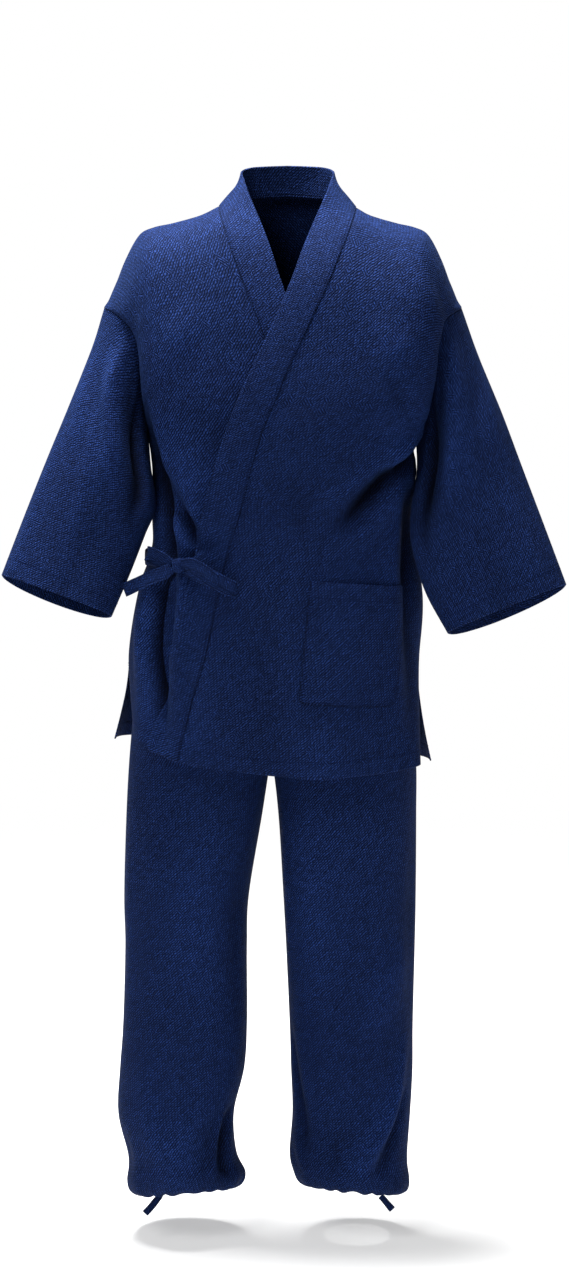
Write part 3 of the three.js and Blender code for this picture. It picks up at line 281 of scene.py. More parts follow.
def indigo(name, look):
    material = bpy.data.materials.new(name)
    material.use_nodes = True
    tree = material.node_tree
    shader = tree.nodes["Principled BSDF"]
    mapNode = tree.nodes.new("ShaderNodeUVMap")
    mapNode.uv_map = "weave"
    turned = tree.nodes.new("ShaderNodeMapping")
    turned.inputs["Rotation"].default_value = (0, 0, math.radians(look["turn"]))
    tree.links.new(mapNode.outputs["UV"], turned.inputs["Vector"])
    weave = tree.nodes.new("ShaderNodeGroup")
    weave.node_tree = riceWeave
    tree.links.new(turned.outputs[0], weave.inputs["Map"])
    weave.inputs["Rib"].default_value = look["rib"]
    weave.inputs["Grain"].default_value = look["grain"]
    sewn = tree.nodes.new("ShaderNodeGroup")
    sewn.node_tree = sewnEdge
    tree.links.new(attribute(tree, "seam"), sewn.inputs["Seam"])
    tree.links.new(attribute(tree, "sewing"), sewn.inputs["Sewing"])

    place = tree.nodes.new("ShaderNodeTexCoord").outputs["Object"]
    clouds, fibres = noise(tree, place, look["dyeScale"], 3), noise(tree, place, look["yarnScale"], 2)
    dye = ramp(tree, clouds, 0.25, 0.75, 1 - look["dye"], 1 + look["dye"])
    yarn = ramp(tree, fibres, 0.2, 0.8, 1 - look["yarn"], 1 + look["yarn"])
    colour = tree.nodes.new("ShaderNodeMix")
    colour.data_type = "RGBA"
    tree.links.new(weave.outputs["Tint"], colour.inputs["Factor"])
    colour.inputs["A"].default_value = (*look["ground"], 1)
    colour.inputs["B"].default_value = (*look["raised"], 1)
    # painted shade darkens the cloth in its folds and creases, and a painted highlight pales it on their
    # ridges
    paintedFoldShading = ramp(tree, attribute(tree, "fold"), *look["foldReach"], *look["foldShadeAndHighlight"])
    tone = mathNode(tree, "MULTIPLY", mathNode(tree, "MULTIPLY", dye, yarn), paintedFoldShading)
    lit = mathNode(tree, "MULTIPLY", tone, mathNode(tree, "SUBTRACT", 1, sewn.outputs["Shade"]))
    shaded = tree.nodes.new("ShaderNodeVectorMath")
    shaded.operation = "SCALE"
    tree.links.new(colour.outputs["Result"], shaded.inputs[0])
    tree.links.new(lit, shaded.inputs["Scale"])
    tree.links.new(shaded.outputs[0], shader.inputs["Base Color"])

    rough = ramp(tree, weave.outputs["Height"], 0, 1, *look["roughness"])
    tree.links.new(rough, shader.inputs["Roughness"])
    shader.inputs["Sheen Weight"].default_value = look["sheen"]
    shader.inputs["Sheen Roughness"].default_value = look["sheenRoughness"]
    shader.inputs["Sheen Tint"].default_value = (*look["sheenTint"], 1)
    shader.inputs["Specular IOR Level"].default_value = look["specular"]
    raised = mathNode(tree, "MULTIPLY", weave.outputs["Height"], look["relief"])
    dip = mathNode(tree, "MULTIPLY", sewn.outputs["Dip"], look["seamDepth"])
    relief = mathNode(tree, "SUBTRACT", raised, dip)
    bump = tree.nodes.new("ShaderNodeBump")
    bump.inputs["Strength"].default_value = 1
    bump.inputs["Distance"].default_value = 0.001  # heights are in mm
    tree.links.new(relief, bump.inputs["Height"])
    tree.links.new(bump.outputs["Normal"], shader.inputs["Normal"])
    return material


# rib and grain are sizes of the weave in metres. relief and seamDepth are in mm
clothLook = {
    "rib": 0.0029, "grain": 0.0052, "turn": 0, "relief": 0.6, "seamDepth": 0.7,
    "dye": 0.07, "dyeScale": 7, "yarn": 0.18, "yarnScale": 900,
    "ground": (0.0009, 0.0025, 0.0115), "raised": (0.0135, 0.036, 0.155),
    "roughness": (0.95, 0.75), "sheen": 0.03, "sheenRoughness": 0.45,
    "sheenTint": (0.15, 0.35, 1.0), "specular": 0.05,
    "foldReach": (-0.016, 0.010),  # metres down in a fold and up on its ridge
    "foldShadeAndHighlight": (0.16, 1.33),  # painted shade darkens the cloth down there and a painted highlight makes it paler on the ridge
}
cloth = indigo("indigo cloth", clothLook)
bandCloth = indigo("indigo band cloth", {**clothLook, "turn": 8, "relief": 0.5})
tapeCloth = indigo("indigo tape", {**clothLook, "rib": 0.0022, "grain": 0.0040, "relief": 0.35})

threadLook = {"colour": (0.004, 0.014, 0.075), "plyScale": 1500, "ply": (0.6, 1.3),
              "roughness": 0.85, "specular": 0.08}


def threadMaterial():
    material = bpy.data.materials.new("indigo thread")
    material.use_nodes = True
    tree = material.node_tree
    shader = tree.nodes["Principled BSDF"]
    place = tree.nodes.new("ShaderNodeTexCoord").outputs["Object"]
    ply = ramp(tree, noise(tree, place, threadLook["plyScale"], 1), 0.3, 0.7, *threadLook["ply"])
    tint = tree.nodes.new("ShaderNodeVectorMath")
    tint.operation = "SCALE"
    tint.inputs[0].default_value = threadLook["colour"]
    tree.links.new(ply, tint.inputs["Scale"])
    tree.links.new(tint.outputs[0], shader.inputs["Base Color"])
    shader.inputs["Roughness"].default_value = threadLook["roughness"]
    shader.inputs["Specular IOR Level"].default_value = threadLook["specular"]
    return material


thread = threadMaterial()
print("materials made")


# Cloth meshes from grids of points
def gridNormals(points, tube=False):
    grid = np.concatenate([points[:, -2:-1], points, points[:, 1:2]], axis=1) if tube else points
    across, along = np.gradient(grid, axis=1), np.gradient(grid, axis=0)
    normals = unit(np.cross(across, along))
    return normals[:, 1:-1] if tube else normals


farOff = 99.0  # mm, for cloth with no seam or stitches near
rimRound = 0.7  # how far a cut edge stands out, in halves of its wall


# A panel: its outer and inner skin, and distances across and along it in mm
def makePanel(outer, thickness, axis, reference, tube=False):
    normals = gridNormals(outer, tube)
    mirror = -1 if np.sum(normals * (outer - axis)) < 0 else 1
    normals = normals * mirror
    across = np.cumsum(np.linalg.norm(np.diff(outer, axis=1), axis=2), axis=1)
    across = np.concatenate([np.zeros((len(outer), 1)), across], axis=1)
    along = np.cumsum(np.linalg.norm(np.diff(outer[:, reference], axis=0), axis=1))
    along = np.concatenate([[0], along])[:, None] + 0 * across
    inner = outer - normals * (thickness if np.ndim(thickness) == 0 else thickness[..., None])
    return {
        "outer": outer, "inner": inner, "normals": normals, "tube": tube,
        "across": across, "along": along, "reference": reference, "mirror": mirror,
        "seam": np.full(across.shape, farOff), "sewing": np.full(across.shape, farOff),
        "fold": np.zeros(across.shape),
    }


def toMetres(points):
    return (points - np.array([0, 0, heldHeight])) / 1000


def meshPiece(name, points, faces, material):
    mesh = bpy.data.meshes.new(name)
    mesh.from_pydata(points.tolist(), [], faces)
    mesh.materials.append(material)
    piece = bpy.data.objects.new(name, mesh)
    bpy.context.collection.objects.link(piece)
    return piece


def selectOnly(piece):
    bpy.ops.object.select_all(action="DESELECT")
    piece.select_set(True)
    bpy.context.view_layer.objects.active = piece


def smoothShade(piece, degrees=50):
    selectOnly(piece)
    bpy.ops.object.shade_smooth_by_angle(angle=math.radians(degrees))
    piece.select_set(False)


def clothPiece(name, panel, material):
    outer, inner = panel["outer"], panel["inner"]
    rows, columns = outer.shape[:2]
    index = np.arange(rows * columns).reshape(rows, columns)
    skin = np.stack([index[:-1, :-1], index[:-1, 1:], index[1:, 1:], index[1:, :-1]], -1).reshape(-1, 4)
    if panel["tube"]:
        loops = [index[0], index[-1][::-1]]
    else:
        edge = [index[0, :-1], index[:-1, -1], index[-1, :0:-1], index[:0:-1, 0]]
        loops = [np.append(np.concatenate(edge), index[0, 0])]
    flatOuter, flatInner = outer.reshape(-1, 3), inner.reshape(-1, 3)
    points, faces = [flatOuter, flatInner], [skin, skin[:, ::-1] + rows * columns]
    source = [np.arange(rows * columns)] * 2
    for loop in loops:  # a rounded rim joins the two skins
        row, column = loop // columns, loop % columns
        inside = np.clip(row, 1, rows - 2) * columns + (
            column if panel["tube"] else np.clip(column, 1, columns - 2))
        outwards = unit(flatOuter[loop] - flatOuter[inside])
        half = np.linalg.norm(flatOuter[loop] - flatInner[loop], axis=1, keepdims=True) / 2
        begin = sum(len(part) for part in points)
        points.append((flatOuter[loop] + flatInner[loop]) / 2 + outwards * half * rimRound)
        source.append(loop)
        middle = begin + np.arange(len(loop))
        for a, b in ((loop, middle), (middle, loop + rows * columns)):
            faces.append(np.stack([a[1:], a[:-1], b[:-1], b[1:]], -1))
    points, faces, source = np.concatenate(points), np.concatenate(faces), np.concatenate(source)
    corner = points[faces]
    volume = np.sum(np.cross(corner[:, 0], corner[:, 1]) * corner[:, 2])
    if volume + np.sum(np.cross(corner[:, 0], corner[:, 2]) * corner[:, 3]) < 0:
        faces = faces[:, ::-1]
    piece = meshPiece(name, toMetres(points), faces.tolist(), material)
    mesh = piece.data

    across = (panel["across"] - panel["across"][:, panel["reference"], None]) * panel["mirror"]
    flatMap = np.stack([across, panel["along"]], -1).reshape(-1, 2)[source] / 1000
    vertices = np.empty(len(mesh.loops), int)
    mesh.loops.foreach_get("vertex_index", vertices)
    mesh.uv_layers.new(name="weave").data.foreach_set("uv", flatMap[vertices].ravel())
    # fold holds the rise of the folds, which the material turns into painted shade and painted
    # highlights
    for key in ("seam", "sewing", "fold"):
        values = mesh.attributes.new(key, "FLOAT", "POINT")
        values.data.foreach_set("value", (panel[key].ravel()[source] / 1000).astype(np.float32))
    selectOnly(piece)
    bpy.ops.object.mode_set(mode="EDIT")
    bpy.ops.mesh.select_all(action="SELECT")
    bpy.ops.mesh.remove_doubles(threshold=0.000002)
    bpy.ops.object.mode_set(mode="OBJECT")
    smoothShade(piece)
    return piece


# Hangs a finished piece in the frame
def hang(piece, settings):
    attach(piece, "root")
    if "node" in settings:
        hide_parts(settings["node"])
    return piece


# Adds sewn edges to a panel: the distance from the nearest one, and from the nearest stitches
def addSeams(panel, *distances):
    for distance in distances:
        panel["seam"] = np.minimum(panel["seam"], distance)


def addSewing(panel, *distances):
    for distance in distances:
        panel["sewing"] = np.minimum(panel["sewing"], distance)


def fromFirst(panel, key):
    edge = panel[key][:, :1] if key == "across" else panel[key][:1]
    return panel[key] - edge


def fromLast(panel, key):
    edge = panel[key][:, -1:] if key == "across" else panel[key][-1:]
    return edge - panel[key]


# Values of a grid at fractions of rows and columns
def sample(grid, row, column):
    row = np.clip(row, 0, grid.shape[0] - 1.0001)
    column = np.clip(column, 0, grid.shape[1] - 1.0001)
    r, c = row.astype(int), column.astype(int)
    fr, fc = (row - r)[:, None], (column - c)[:, None]
    low = grid[r, c] * (1 - fc) + grid[r, c + 1] * fc
    high = grid[r + 1, c] * (1 - fc) + grid[r + 1, c + 1] * fc
    return low * (1 - fr) + high * fr


stitch = {"pitch": 3.6, "length": 2.7, "radius": 0.34, "proud": 0.12, "shoulder": 0.55}
stitchLines = {}


# Keeps a line of stitches on a panel, given by fractional rows and columns
def sewLine(group, panel, row, column):
    row, column = np.broadcast_arrays(np.asarray(row, float), np.asarray(column, float))
    points, normals = sample(panel["outer"], row, column), sample(panel["normals"], row, column)
    stitchLines.setdefault(group, []).append((points, unit(normals)))


def rowAt(panel, distance):
    return np.interp(distance, panel["along"][:, 0], np.arange(len(panel["along"])))


def columnAt(panel, distance, last=False):
    columns = np.arange(panel["across"].shape[1])
    if last:
        return np.array([np.interp(-distance, line - line[-1], columns) for line in panel["across"]])
    return np.array([np.interp(distance, line, columns) for line in panel["across"]])


# One mesh of small spindle-shaped stitches for each group of lines
def sewStitches(name, lines, settings):
    points, faces = [], []
    for line, normals in lines:
        length = np.append(0, np.cumsum(np.linalg.norm(np.diff(line, axis=0), axis=1)))
        count = int(length[-1] / stitch["pitch"])
        if count < 2:
            continue
        at = (np.arange(count) + 0.5) * stitch["pitch"]
        centre = np.stack([np.interp(at, length, line[:, axis]) for axis in range(3)], -1)
        ahead = np.stack([np.interp(at + 1, length, line[:, axis]) for axis in range(3)], -1)
        up = unit(np.stack([np.interp(at, length, normals[:, axis]) for axis in range(3)], -1))
        along = unit(ahead - centre)
        side = np.cross(along, up)
        centre = centre + up * stitch["proud"]
        half, radius = stitch["length"] / 2, stitch["radius"]
        ring = [side * radius, up * radius, -side * radius, -up * radius]
        body = [centre - along * half - up * radius]
        body += [centre - along * half * stitch["shoulder"] + offset for offset in ring]
        body += [centre + along * half * stitch["shoulder"] + offset for offset in ring]
        body += [centre + along * half - up * radius]
        base = sum(len(part) for part in points) + 10 * np.arange(count)[:, None]
        points.append(np.stack(body, 1).reshape(-1, 3))
        shape = [(0, 2, 1, 1), (0, 3, 2, 2), (0, 4, 3, 3), (0, 1, 4, 4), (9, 5, 6, 6), (9, 6, 7, 7),
                 (9, 7, 8, 8), (9, 8, 5, 5), (1, 2, 6, 5), (2, 3, 7, 6), (3, 4, 8, 7), (4, 1, 5, 8)]
        faces.append((base[:, :, None] + np.array(shape)[None]).reshape(-1, 4))
    points, faces = np.concatenate(points), np.concatenate(faces)
    faces = [list(dict.fromkeys(face)) for face in faces.tolist()]
    piece = meshPiece(name, toMetres(points), faces, thread)
    selectOnly(piece)
    bpy.ops.object.mode_set(mode="EDIT")
    bpy.ops.mesh.select_all(action="SELECT")
    bpy.ops.mesh.normals_make_consistent(inside=False)
    bpy.ops.object.mode_set(mode="OBJECT")
    smoothShade(piece, 80)
    return hang(piece, settings)


# Jacket form. level 0 is the hem, 1 the underarm, 2 the shoulder line
jacket = {
    "levels": table("level height front back right left round", [
        (0.00, 700, 147, 136, 197, 203, 2.7), (0.15, 770, 143, 134, 203, 202, 2.6),
        (0.32, 850, 138, 129, 206, 201, 2.5), (0.50, 930, 132, 121, 195, 203, 2.5),
        (0.65, 1000, 129, 113, 176, 193, 2.5), (0.78, 1060, 131, 112, 171, 187, 2.6),
        (1.00, 1165, 136, 118, 184, 189, 3.0), (1.17, 1225, 134, 122, 190, 200, 4.2),
        (1.33, 1283, 126, 121, 196, 205, 4.6), (1.50, 1338, 114, 114, 202, 206, 4.6),
        (1.65, 1386, 98, 101, 212, 212, 4.0), (1.78, 1425, 79, 83, 227, 219, 3.4),
        (1.88, 1453, 56, 62, 240, 231, 3.0), (1.95, 1469, 28, 38, 251, 239, 2.8),
        (2.00, 1478, -6, 6, 255, 242, 2.8)]),
    "armhole": table("level front back height", [
        (1.00, 0, 0, 1165), (1.17, 34, 30, 1200), (1.33, 54, 46, 1240), (1.50, 63, 54, 1280),
        (1.65, 64, 55, 1306), (1.78, 55, 48, 1322), (1.88, 38, 34, 1330), (1.95, 18, 18, 1334),
        (2.00, -4, 4, 1336)]),
    "shoulder": table("turn drop", [
        (0.00, 0.00), (0.22, 0.02), (0.30, 0.11), (0.39, 0.18), (0.46, 0.22), (0.52, 0.29),
        (0.60, 0.54), (0.67, 0.76), (0.78, 0.94), (1.00, 1.00)]),
    "lean": table("level x", [(0.0, -6), (0.5, -5), (0.78, -1), (1.2, 4), (1.5, 9), (2.0, 12)]),
    "frontHem": table("across rise", [
        (-1.0, 50), (-0.84, 31), (-0.62, 18), (-0.35, 11), (0.0, 2), (0.3, -1), (0.7, 3), (1.0, 7)]),
    "backHem": table("across rise", [(-1.0, 22), (-0.5, 14), (0.0, 6), (0.5, -2), (1.0, -10)]),
    "slitLevel": 0.29, "frontSlit": 60, "backSlit": 52, "backSlitRight": 34, "backSlitLeft": 22,
    "napeReach": 108, "napeBackwards": 64, "napeUpwards": 12, "napeBack": 1.5, "napeFront": 1.86,
    "napePower": 2.6, "overlapLift": 4.5, "underReach": 0.88, "thickness": 1.5, "hemThickness": 2.2,
    "lowerRows": 112, "upperRows": 84, "frontColumns": 84, "hem": 22, "slitHem": 12,
    "backRound": 3.2, "hemFades": 0.4, "flareStart": 0.55, "overlapEnds": (1.58, 1.86),
    # angles round from the front, in radians
    "overlapFades": (1.1, 1.5), "foldsFade": (1.12, 1.48), "creasesFade": (1.34, 1.54),
}

# Folds in front view from the middle: x, height, rise, half width
frontFolds = [
    ("ledge", [(-176, 1215, 0, 20), (-164, 1172, 8, 22), (-148, 1130, 11, 22), (-128, 1090, 9, 20),
               (-104, 1045, 0, 18)]),
    ("ledge", [(198, 1206, 0, 18), (184, 1170, 7, 18), (168, 1138, 9, 20), (152, 1106, 0, 20)]),
    ("ridge", [(172, 1142, 0, 22), (140, 1108, -7, 22), (108, 1076, -6, 24), (80, 1046, 0, 24)]),
    ("ridge", [(-150, 980, 0, 16), (-150, 920, -6, 16), (-154, 860, -5, 16), (-150, 800, 0, 16)]),
]
# Finer creases on top of them
frontCreases = [
    ("crease", [(-176, 1146, 0, 5), (-167, 1112, -14, 6), (-152, 1057, -18, 7), (-145, 1002, -13, 7),
                (-142, 970, 0, 7)]),
    ("crease", [(-138, 1074, 0, 5), (-128, 1053, -13, 6), (-112, 1027, -10, 7), (-100, 1006, 0, 7)]),
    ("crease", [(200, 1180, 0, 6), (192, 1160, -10, 6), (174, 1134, -13, 7), (166, 1108, 0, 7)]),
    ("crease", [(186, 1142, 0, 9), (164, 1122, -12, 10), (130, 1090, -15, 12), (100, 1058, -9, 13),
                (74, 1034, 0, 14)]),
    ("crease", [(-146, 994, 0, 8), (-149, 958, -20, 10), (-154, 900, -26, 10), (-155, 866, -26, 10),
                (-152, 826, -20, 10), (-150, 780, -11, 10), (-149, 728, 0, 10)]),
    ("crease", [(140, 1250, 0, 9), (158, 1216, -4, 9), (184, 1172, 0, 9)]),
    ("crease", [(-126, 992, 0, 5), (-104, 1006, -3.4, 6), (-70, 1020, 0, 7)]),
    ("crease", [(-126, 982, 0, 5), (-106, 962, -3.6, 6), (-80, 936, 0, 7)]),
    ("ridge", [(-178, 985, 0, 7), (-186, 900, 5, 8), (-186, 800, 4, 9), (-182, 720, 0, 10)]),
    ("ridge", [(-92, 900, 0, 16), (-98, 820, 3, 18), (-106, 735, 2, 20)]),
    ("ridge", [(-20, 960, 0, 22), (-12, 850, -3, 24), (-6, 716, -2, 26)]),
    ("ridge", [(60, 780, 0, 20), (66, 740, 2.6, 20), (70, 702, 3, 22)]),
    ("crease", [(170, 1112, 0, 7), (176, 1060, -8, 8), (177, 980, -11, 9), (182, 880, -8, 9),
                (186, 800, -4, 9), (186, 740, 0, 9)]),
    ("ridge", [(120, 1330, 0, 22), (150, 1280, 4, 24), (176, 1230, 0, 20)]),
    ("ridge", [(-110, 1350, 0, 22), (-142, 1300, 4, 24), (-168, 1240, 0, 20)]),
    ("ridge", [(0, 1110, 0, 20), (24, 1070, -3, 22), (40, 1020, 0, 22)]),
    ("ridge", [(-60, 1210, 0, 14), (-84, 1160, -3, 16), (-100, 1110, 0, 14)]),
]
backFolds = [
    ("ridge", [(-150, 1330, 0, 22), (-146, 1240, -8, 24), (-134, 1120, -8, 24), (-118, 1010, 0, 22)]),
    ("ridge", [(158, 1320, 0, 22), (150, 1220, -9, 24), (136, 1100, -7, 26), (128, 990, 0, 22)]),
    ("ridge", [(-120, 1000, 0, 20), (-60, 985, 5, 18), (30, 992, 4, 18), (100, 1010, 0, 20)]),
]
backCreases = [
    ("crease", [(-178, 1190, 0, 7), (-146, 1150, -6, 8), (-104, 1118, 0, 9)]),
    ("crease", [(178, 1182, 0, 7), (148, 1138, -7, 8), (108, 1104, 0, 9)]),
    ("crease", [(-150, 1062, 0, 8), (-96, 1040, -5, 9), (-36, 1034, 0, 9)]),
    ("crease", [(140, 1040, 0, 7), (96, 1024, -4, 8), (50, 1022, 0, 8)]),
    ("ridge", [(40, 960, 0, 14), (46, 850, 4, 18), (52, 712, 3, 22)]),
    ("ridge", [(-70, 950, 0, 14), (-78, 840, -4, 18), (-84, 716, -3, 22)]),
    ("ridge", [(130, 900, 0, 14), (136, 800, -4, 16), (138, 706, -3, 18)]),
    ("ridge", [(-18, 1380, 0, 26), (-10, 1250, -3, 30), (4, 1110, 0, 26)]),
    ("crease", [(-150, 1396, 0, 10), (-110, 1362, -4, 12), (-66, 1340, 0, 14)]),
    ("crease", [(152, 1390, 0, 10), (112, 1352, -4, 12), (70, 1334, 0, 14)]),
]


def level(name, at):
    return read(jacket["levels"], "level", at, name)


def jacketBase(face, angle, at):
    face, angle, at = np.broadcast_arrays(np.asarray(face, float), angle, at)
    over = at > 2
    face, at = np.where(over, -face, face), np.where(over, 4 - at, at)
    past = np.abs(angle) > quarter
    joined = (at >= jacket["slitLevel"]) & (at <= 1)
    face = np.where(past & joined, -face, face)
    returned = np.where(joined, 2 * quarter - np.abs(angle), quarter)
    angle = np.where(past, np.sign(angle) * returned, angle)
    side, front = np.where(angle < 0, -1, 1), face < 0
    roundness = level("round", at)
    behind = np.minimum(roundness, jacket["backRound"])
    across, depth = section(angle, np.where(front, roundness, behind))
    half = np.where(side < 0, level("right", at), level("left", at))
    opening = np.maximum(0, (jacket["slitLevel"] - at) / jacket["slitLevel"]) ** 1.5
    armhole = {key: read(jacket["armhole"], "level", at, key) for key in ("front", "back", "height")}
    edge = np.where(at > 1, np.where(front, armhole["front"], armhole["back"]),
                    np.where(front, jacket["frontSlit"], jacket["backSlit"]) * opening)
    x = read(jacket["lean"], "level", at, "x") + half * across
    y = face * mix(edge, np.where(front, level("front", at), level("back", at)), np.abs(depth))
    drop = read(jacket["shoulder"], "turn", np.abs(angle) / quarter, "drop")
    hem = np.where(front, read(jacket["frontHem"], "across", across, "rise"),
                   read(jacket["backHem"], "across", across, "rise"))
    height = level("height", at)
    hem = hem * (1 - smooth(0, jacket["hemFades"], at))
    z = np.where(at > 1, mix(height, armhole["height"], drop), height + hem)
    flare = np.where(side < 0, jacket["backSlitRight"], jacket["backSlitLeft"])
    flare = side * flare * opening * smooth(jacket["flareStart"], 1, np.abs(across))
    x = x + np.where(front, 0, flare)
    start = np.where(front, jacket["napeFront"], jacket["napeBack"])
    inNeck = (1 - np.minimum(1, np.abs(half * across) / jacket["napeReach"]) ** 2) ** 1.2
    rise = np.maximum(0, (at - start) / (2 - start)) ** jacket["napePower"] * inNeck
    return np.stack([x, y + rise * jacket["napeBackwards"], z + rise * jacket["napeUpwards"]], -1)


def jacketAxis(at):
    height = level("height", at)
    middle = np.where(at > 1, mix(height, 1150, smooth(1, 2, at)), height)
    return np.stack([read(jacket["lean"], "level", at, "x"), 0 * height, middle], -1)


# Rise of the folds and creases, which fade towards the side seams
def jacketRise(face, angle, at):
    angle, at = np.broadcast_arrays(angle, at)
    point = jacketBase(face, angle, at)
    across, height = point[..., 0] - read(jacket["lean"], "level", at, "x"), point[..., 2]
    folds = foldRise(frontFolds if face < 0 else backFolds, across, height)
    creases = foldRise(frontCreases if face < 0 else backCreases, across, height)
    foldFade = 1 - smooth(*jacket["foldsFade"], np.abs(angle))
    creaseFade = 1 - smooth(*jacket["creasesFade"], np.abs(angle))
    return folds * foldFade + creases * creaseFade


def jacketFolded(face, angle, at):
    angle, at = np.broadcast_arrays(angle, at)
    step = 0.01
    normal = surfaceNormal(lambda u, v: jacketBase(face, u, v), angle, at, step, step, jacketAxis(at))
    return jacketBase(face, angle, at) + normal * jacketRise(face, angle, at)[..., None]


def jacketPoint(face, angle, at, lift):
    angle, at = np.broadcast_arrays(angle, at)
    step = 0.012
    normal = surfaceNormal(lambda u, v: jacketFolded(face, u, v), angle, at, step, step, jacketAxis(at))
    return jacketFolded(face, angle, at) + normal * np.broadcast_to(lift, angle.shape)[..., None]


jacketRows = np.concatenate([
    np.linspace(0, 1, jacket["lowerRows"], endpoint=False), np.linspace(1, 2, jacket["upperRows"] + 1)])

# Wrapped fronts: seam and free edge of the band, from the middle, on the front's own side
wrap = table("height seam edge", [
    (700, -131, -172), (790, -112, -154), (851, -96, -139), (936, -79, -122), (999, -67, -112),
    (1060, -51, -101), (1123, -37, -86), (1179, -21, -70), (1219, -5, -56), (1259, 10, -39),
    (1299, 27, -22), (1343, 46, -4), (1383, 63, 11), (1413, 74, 21), (1450, 87, 35), (1466, 92, 40),
    (1478, 95, 43)])


def frontAngle(distance, at):
    half = np.where(distance < 0, level("right", at), level("left", at))
    return sectionAngle(distance / half, level("round", at))


def wrapLine(column, at, side):
    line = read(wrap, "height", level("height", at), column)
    return side * line * np.where((side < 0) & (line < 0), jacket["underReach"], 1)


def wrapLift(side, angle, at):
    over = jacket["overlapLift"] if side > 0 else 0
    fade = 1 - smooth(*jacket["overlapFades"], angle)
    return over * fade * (1 - smooth(*jacket["overlapEnds"], at))


# Wall of a jacket panel, thicker where the hem is turned up
def jacketThickness(outer):
    drop = np.linalg.norm(np.diff(outer, axis=0), axis=2)
    along = np.concatenate([np.zeros((1, outer.shape[1])), np.cumsum(drop, axis=0)])
    turned = 1 - smooth(jacket["hem"] - 2, jacket["hem"] + 2, along)
    return mix(jacket["thickness"], jacket["hemThickness"], turned)


def finishJacketPanel(panel, slitEdges):
    hem = panel["along"] - jacket["hem"]
    rows = jacketRows[:, None]
    addSeams(panel, fromLast(panel, "along"), panel["along"] + 2)
    addSewing(panel, hem)
    for edge in slitEdges:
        distance = fromFirst(panel, "across") if edge == "first" else fromLast(panel, "across")
        slit = np.where(rows < jacket["slitLevel"] - 0.02, distance - jacket["slitHem"], farOff)
        addSewing(panel, slit)
        addSeams(panel, np.where(rows > jacket["slitLevel"] - 0.04, distance, farOff))
        column = columnAt(panel, jacket["slitHem"], last=edge == "last")
        chosen = np.arange(len(jacketRows))[jacketRows < jacket["slitLevel"]]
        chosen = chosen[chosen >= rowAt(panel, jacket["hem"])]
        sewLine("jacket", panel, chosen, column[chosen])
    columns = np.arange(panel["across"].shape[1])
    sewLine("jacket", panel, rowAt(panel, jacket["hem"]), columns)
    return panel


def frontPanel(side):
    at = jacketRows[:, None]
    start = frontAngle(wrapLine("seam", at, side), at) * side
    angle = side * mix(start, quarter, np.linspace(0, 1, jacket["frontColumns"] + 1)[None])
    outer = jacketPoint(-1, angle, at, wrapLift(side, side * angle, at))
    axis = jacketAxis(at)
    panel = makePanel(outer, jacketThickness(outer), axis, jacket["frontColumns"] // 2)
    panel["fold"] = jacketRise(-1, angle, at)
    finishJacketPanel(panel, ["last"])
    addSeams(panel, fromFirst(panel, "across"))
    return panel


frontRight = {"node": "jacket_front_right", "slot": "cloth", "flat": (0.36, 0.86), "area": 0.24,
              "held": "hung", "restsOn": ["jacket_back"]}
frontLeft = {"node": "jacket_front_left", "slot": "cloth", "flat": (0.38, 0.86), "area": 0.26,
             "held": "hung", "restsOn": ["jacket_back"]}
hang(clothPiece("jacket_front_right_cloth", frontPanel(-1), cloth), frontRight)
hang(clothPiece("jacket_front_left_cloth", frontPanel(1), cloth), frontLeft)
print("jacket fronts made")

back = {"node": "jacket_back", "slot": "cloth", "flat": (0.60, 0.86), "area": 0.50, "held": "hung",
        "neckColumns": 10, "sideColumns": 10, "finer": 8}


# Angle of a column of the back: the neck stretch in the middle, a shoulder stretch on each side
def backAngle(column):
    side = np.where(column < 0, -1, 1)
    neckLeft = frontAngle(wrapLine("seam", np.array(2.0), 1), np.array(2.0))
    neckRight = frontAngle(wrapLine("seam", np.array(2.0), -1), np.array(2.0))
    neck = np.where(side < 0, neckRight, neckLeft)
    half = back["neckColumns"] / 2
    past = (np.abs(column) - half) / back["sideColumns"]
    return np.where(past <= 0, np.abs(column) / half * neck, mix(neck, side * quarter, past))


backReach = back["neckColumns"] / 2 + back["sideColumns"]
backColumns = np.linspace(-backReach, backReach, int(2 * backReach * back["finer"]) + 1)
backOuter = jacketFolded(1, backAngle(backColumns)[None], jacketRows[:, None])
backPanel = makePanel(backOuter, jacketThickness(backOuter), jacketAxis(jacketRows[:, None]),
                      len(backColumns) // 2)
backPanel["fold"] = jacketRise(1, backAngle(backColumns)[None], jacketRows[:, None])
finishJacketPanel(backPanel, ["first", "last"])
hang(clothPiece("jacket_back_cloth", backPanel, cloth), back)
print("jacket back made")

# Sleeves. turn goes round the tube: 0 outer edge, 90 front, 180 inner edge, 270 back
sleeve = {
    "names": "along outX outY outZ inX inY inZ front back",
    "right": [
        (0.22, 262, -4, 1275, 177, -42, 1118, 54, 62), (0.42, 292, -18, 1200, 170, -56, 1066, 54, 60),
        (0.62, 322, -34, 1127, 185, -54, 1026, 57, 52), (0.82, 354, -52, 1046, 206, -62, 972, 54, 47),
        (1.00, 383, -70, 970, 230, -86, 916, 48, 47)],
    "left": [
        (0.22, 281, -6, 1260, 191, -34, 1112, 58, 58), (0.42, 310, -20, 1190, 181, -70, 1058, 52, 58),
        (0.62, 338, -36, 1115, 182, -90, 1012, 48, 54), (0.82, 368, -54, 1035, 201, -93, 950, 49, 48),
        (1.00, 397, -70, 957, 232, -90, 893, 48, 47)],
    "frontTilt": 0.2, "backTilt": 0.42, "rows": 92, "columns": 132, "cuffHem": 24,
    "thickness": 1.5, "cuffThickness": 2.3, "cuffStart": (0.90, 0.93),
}
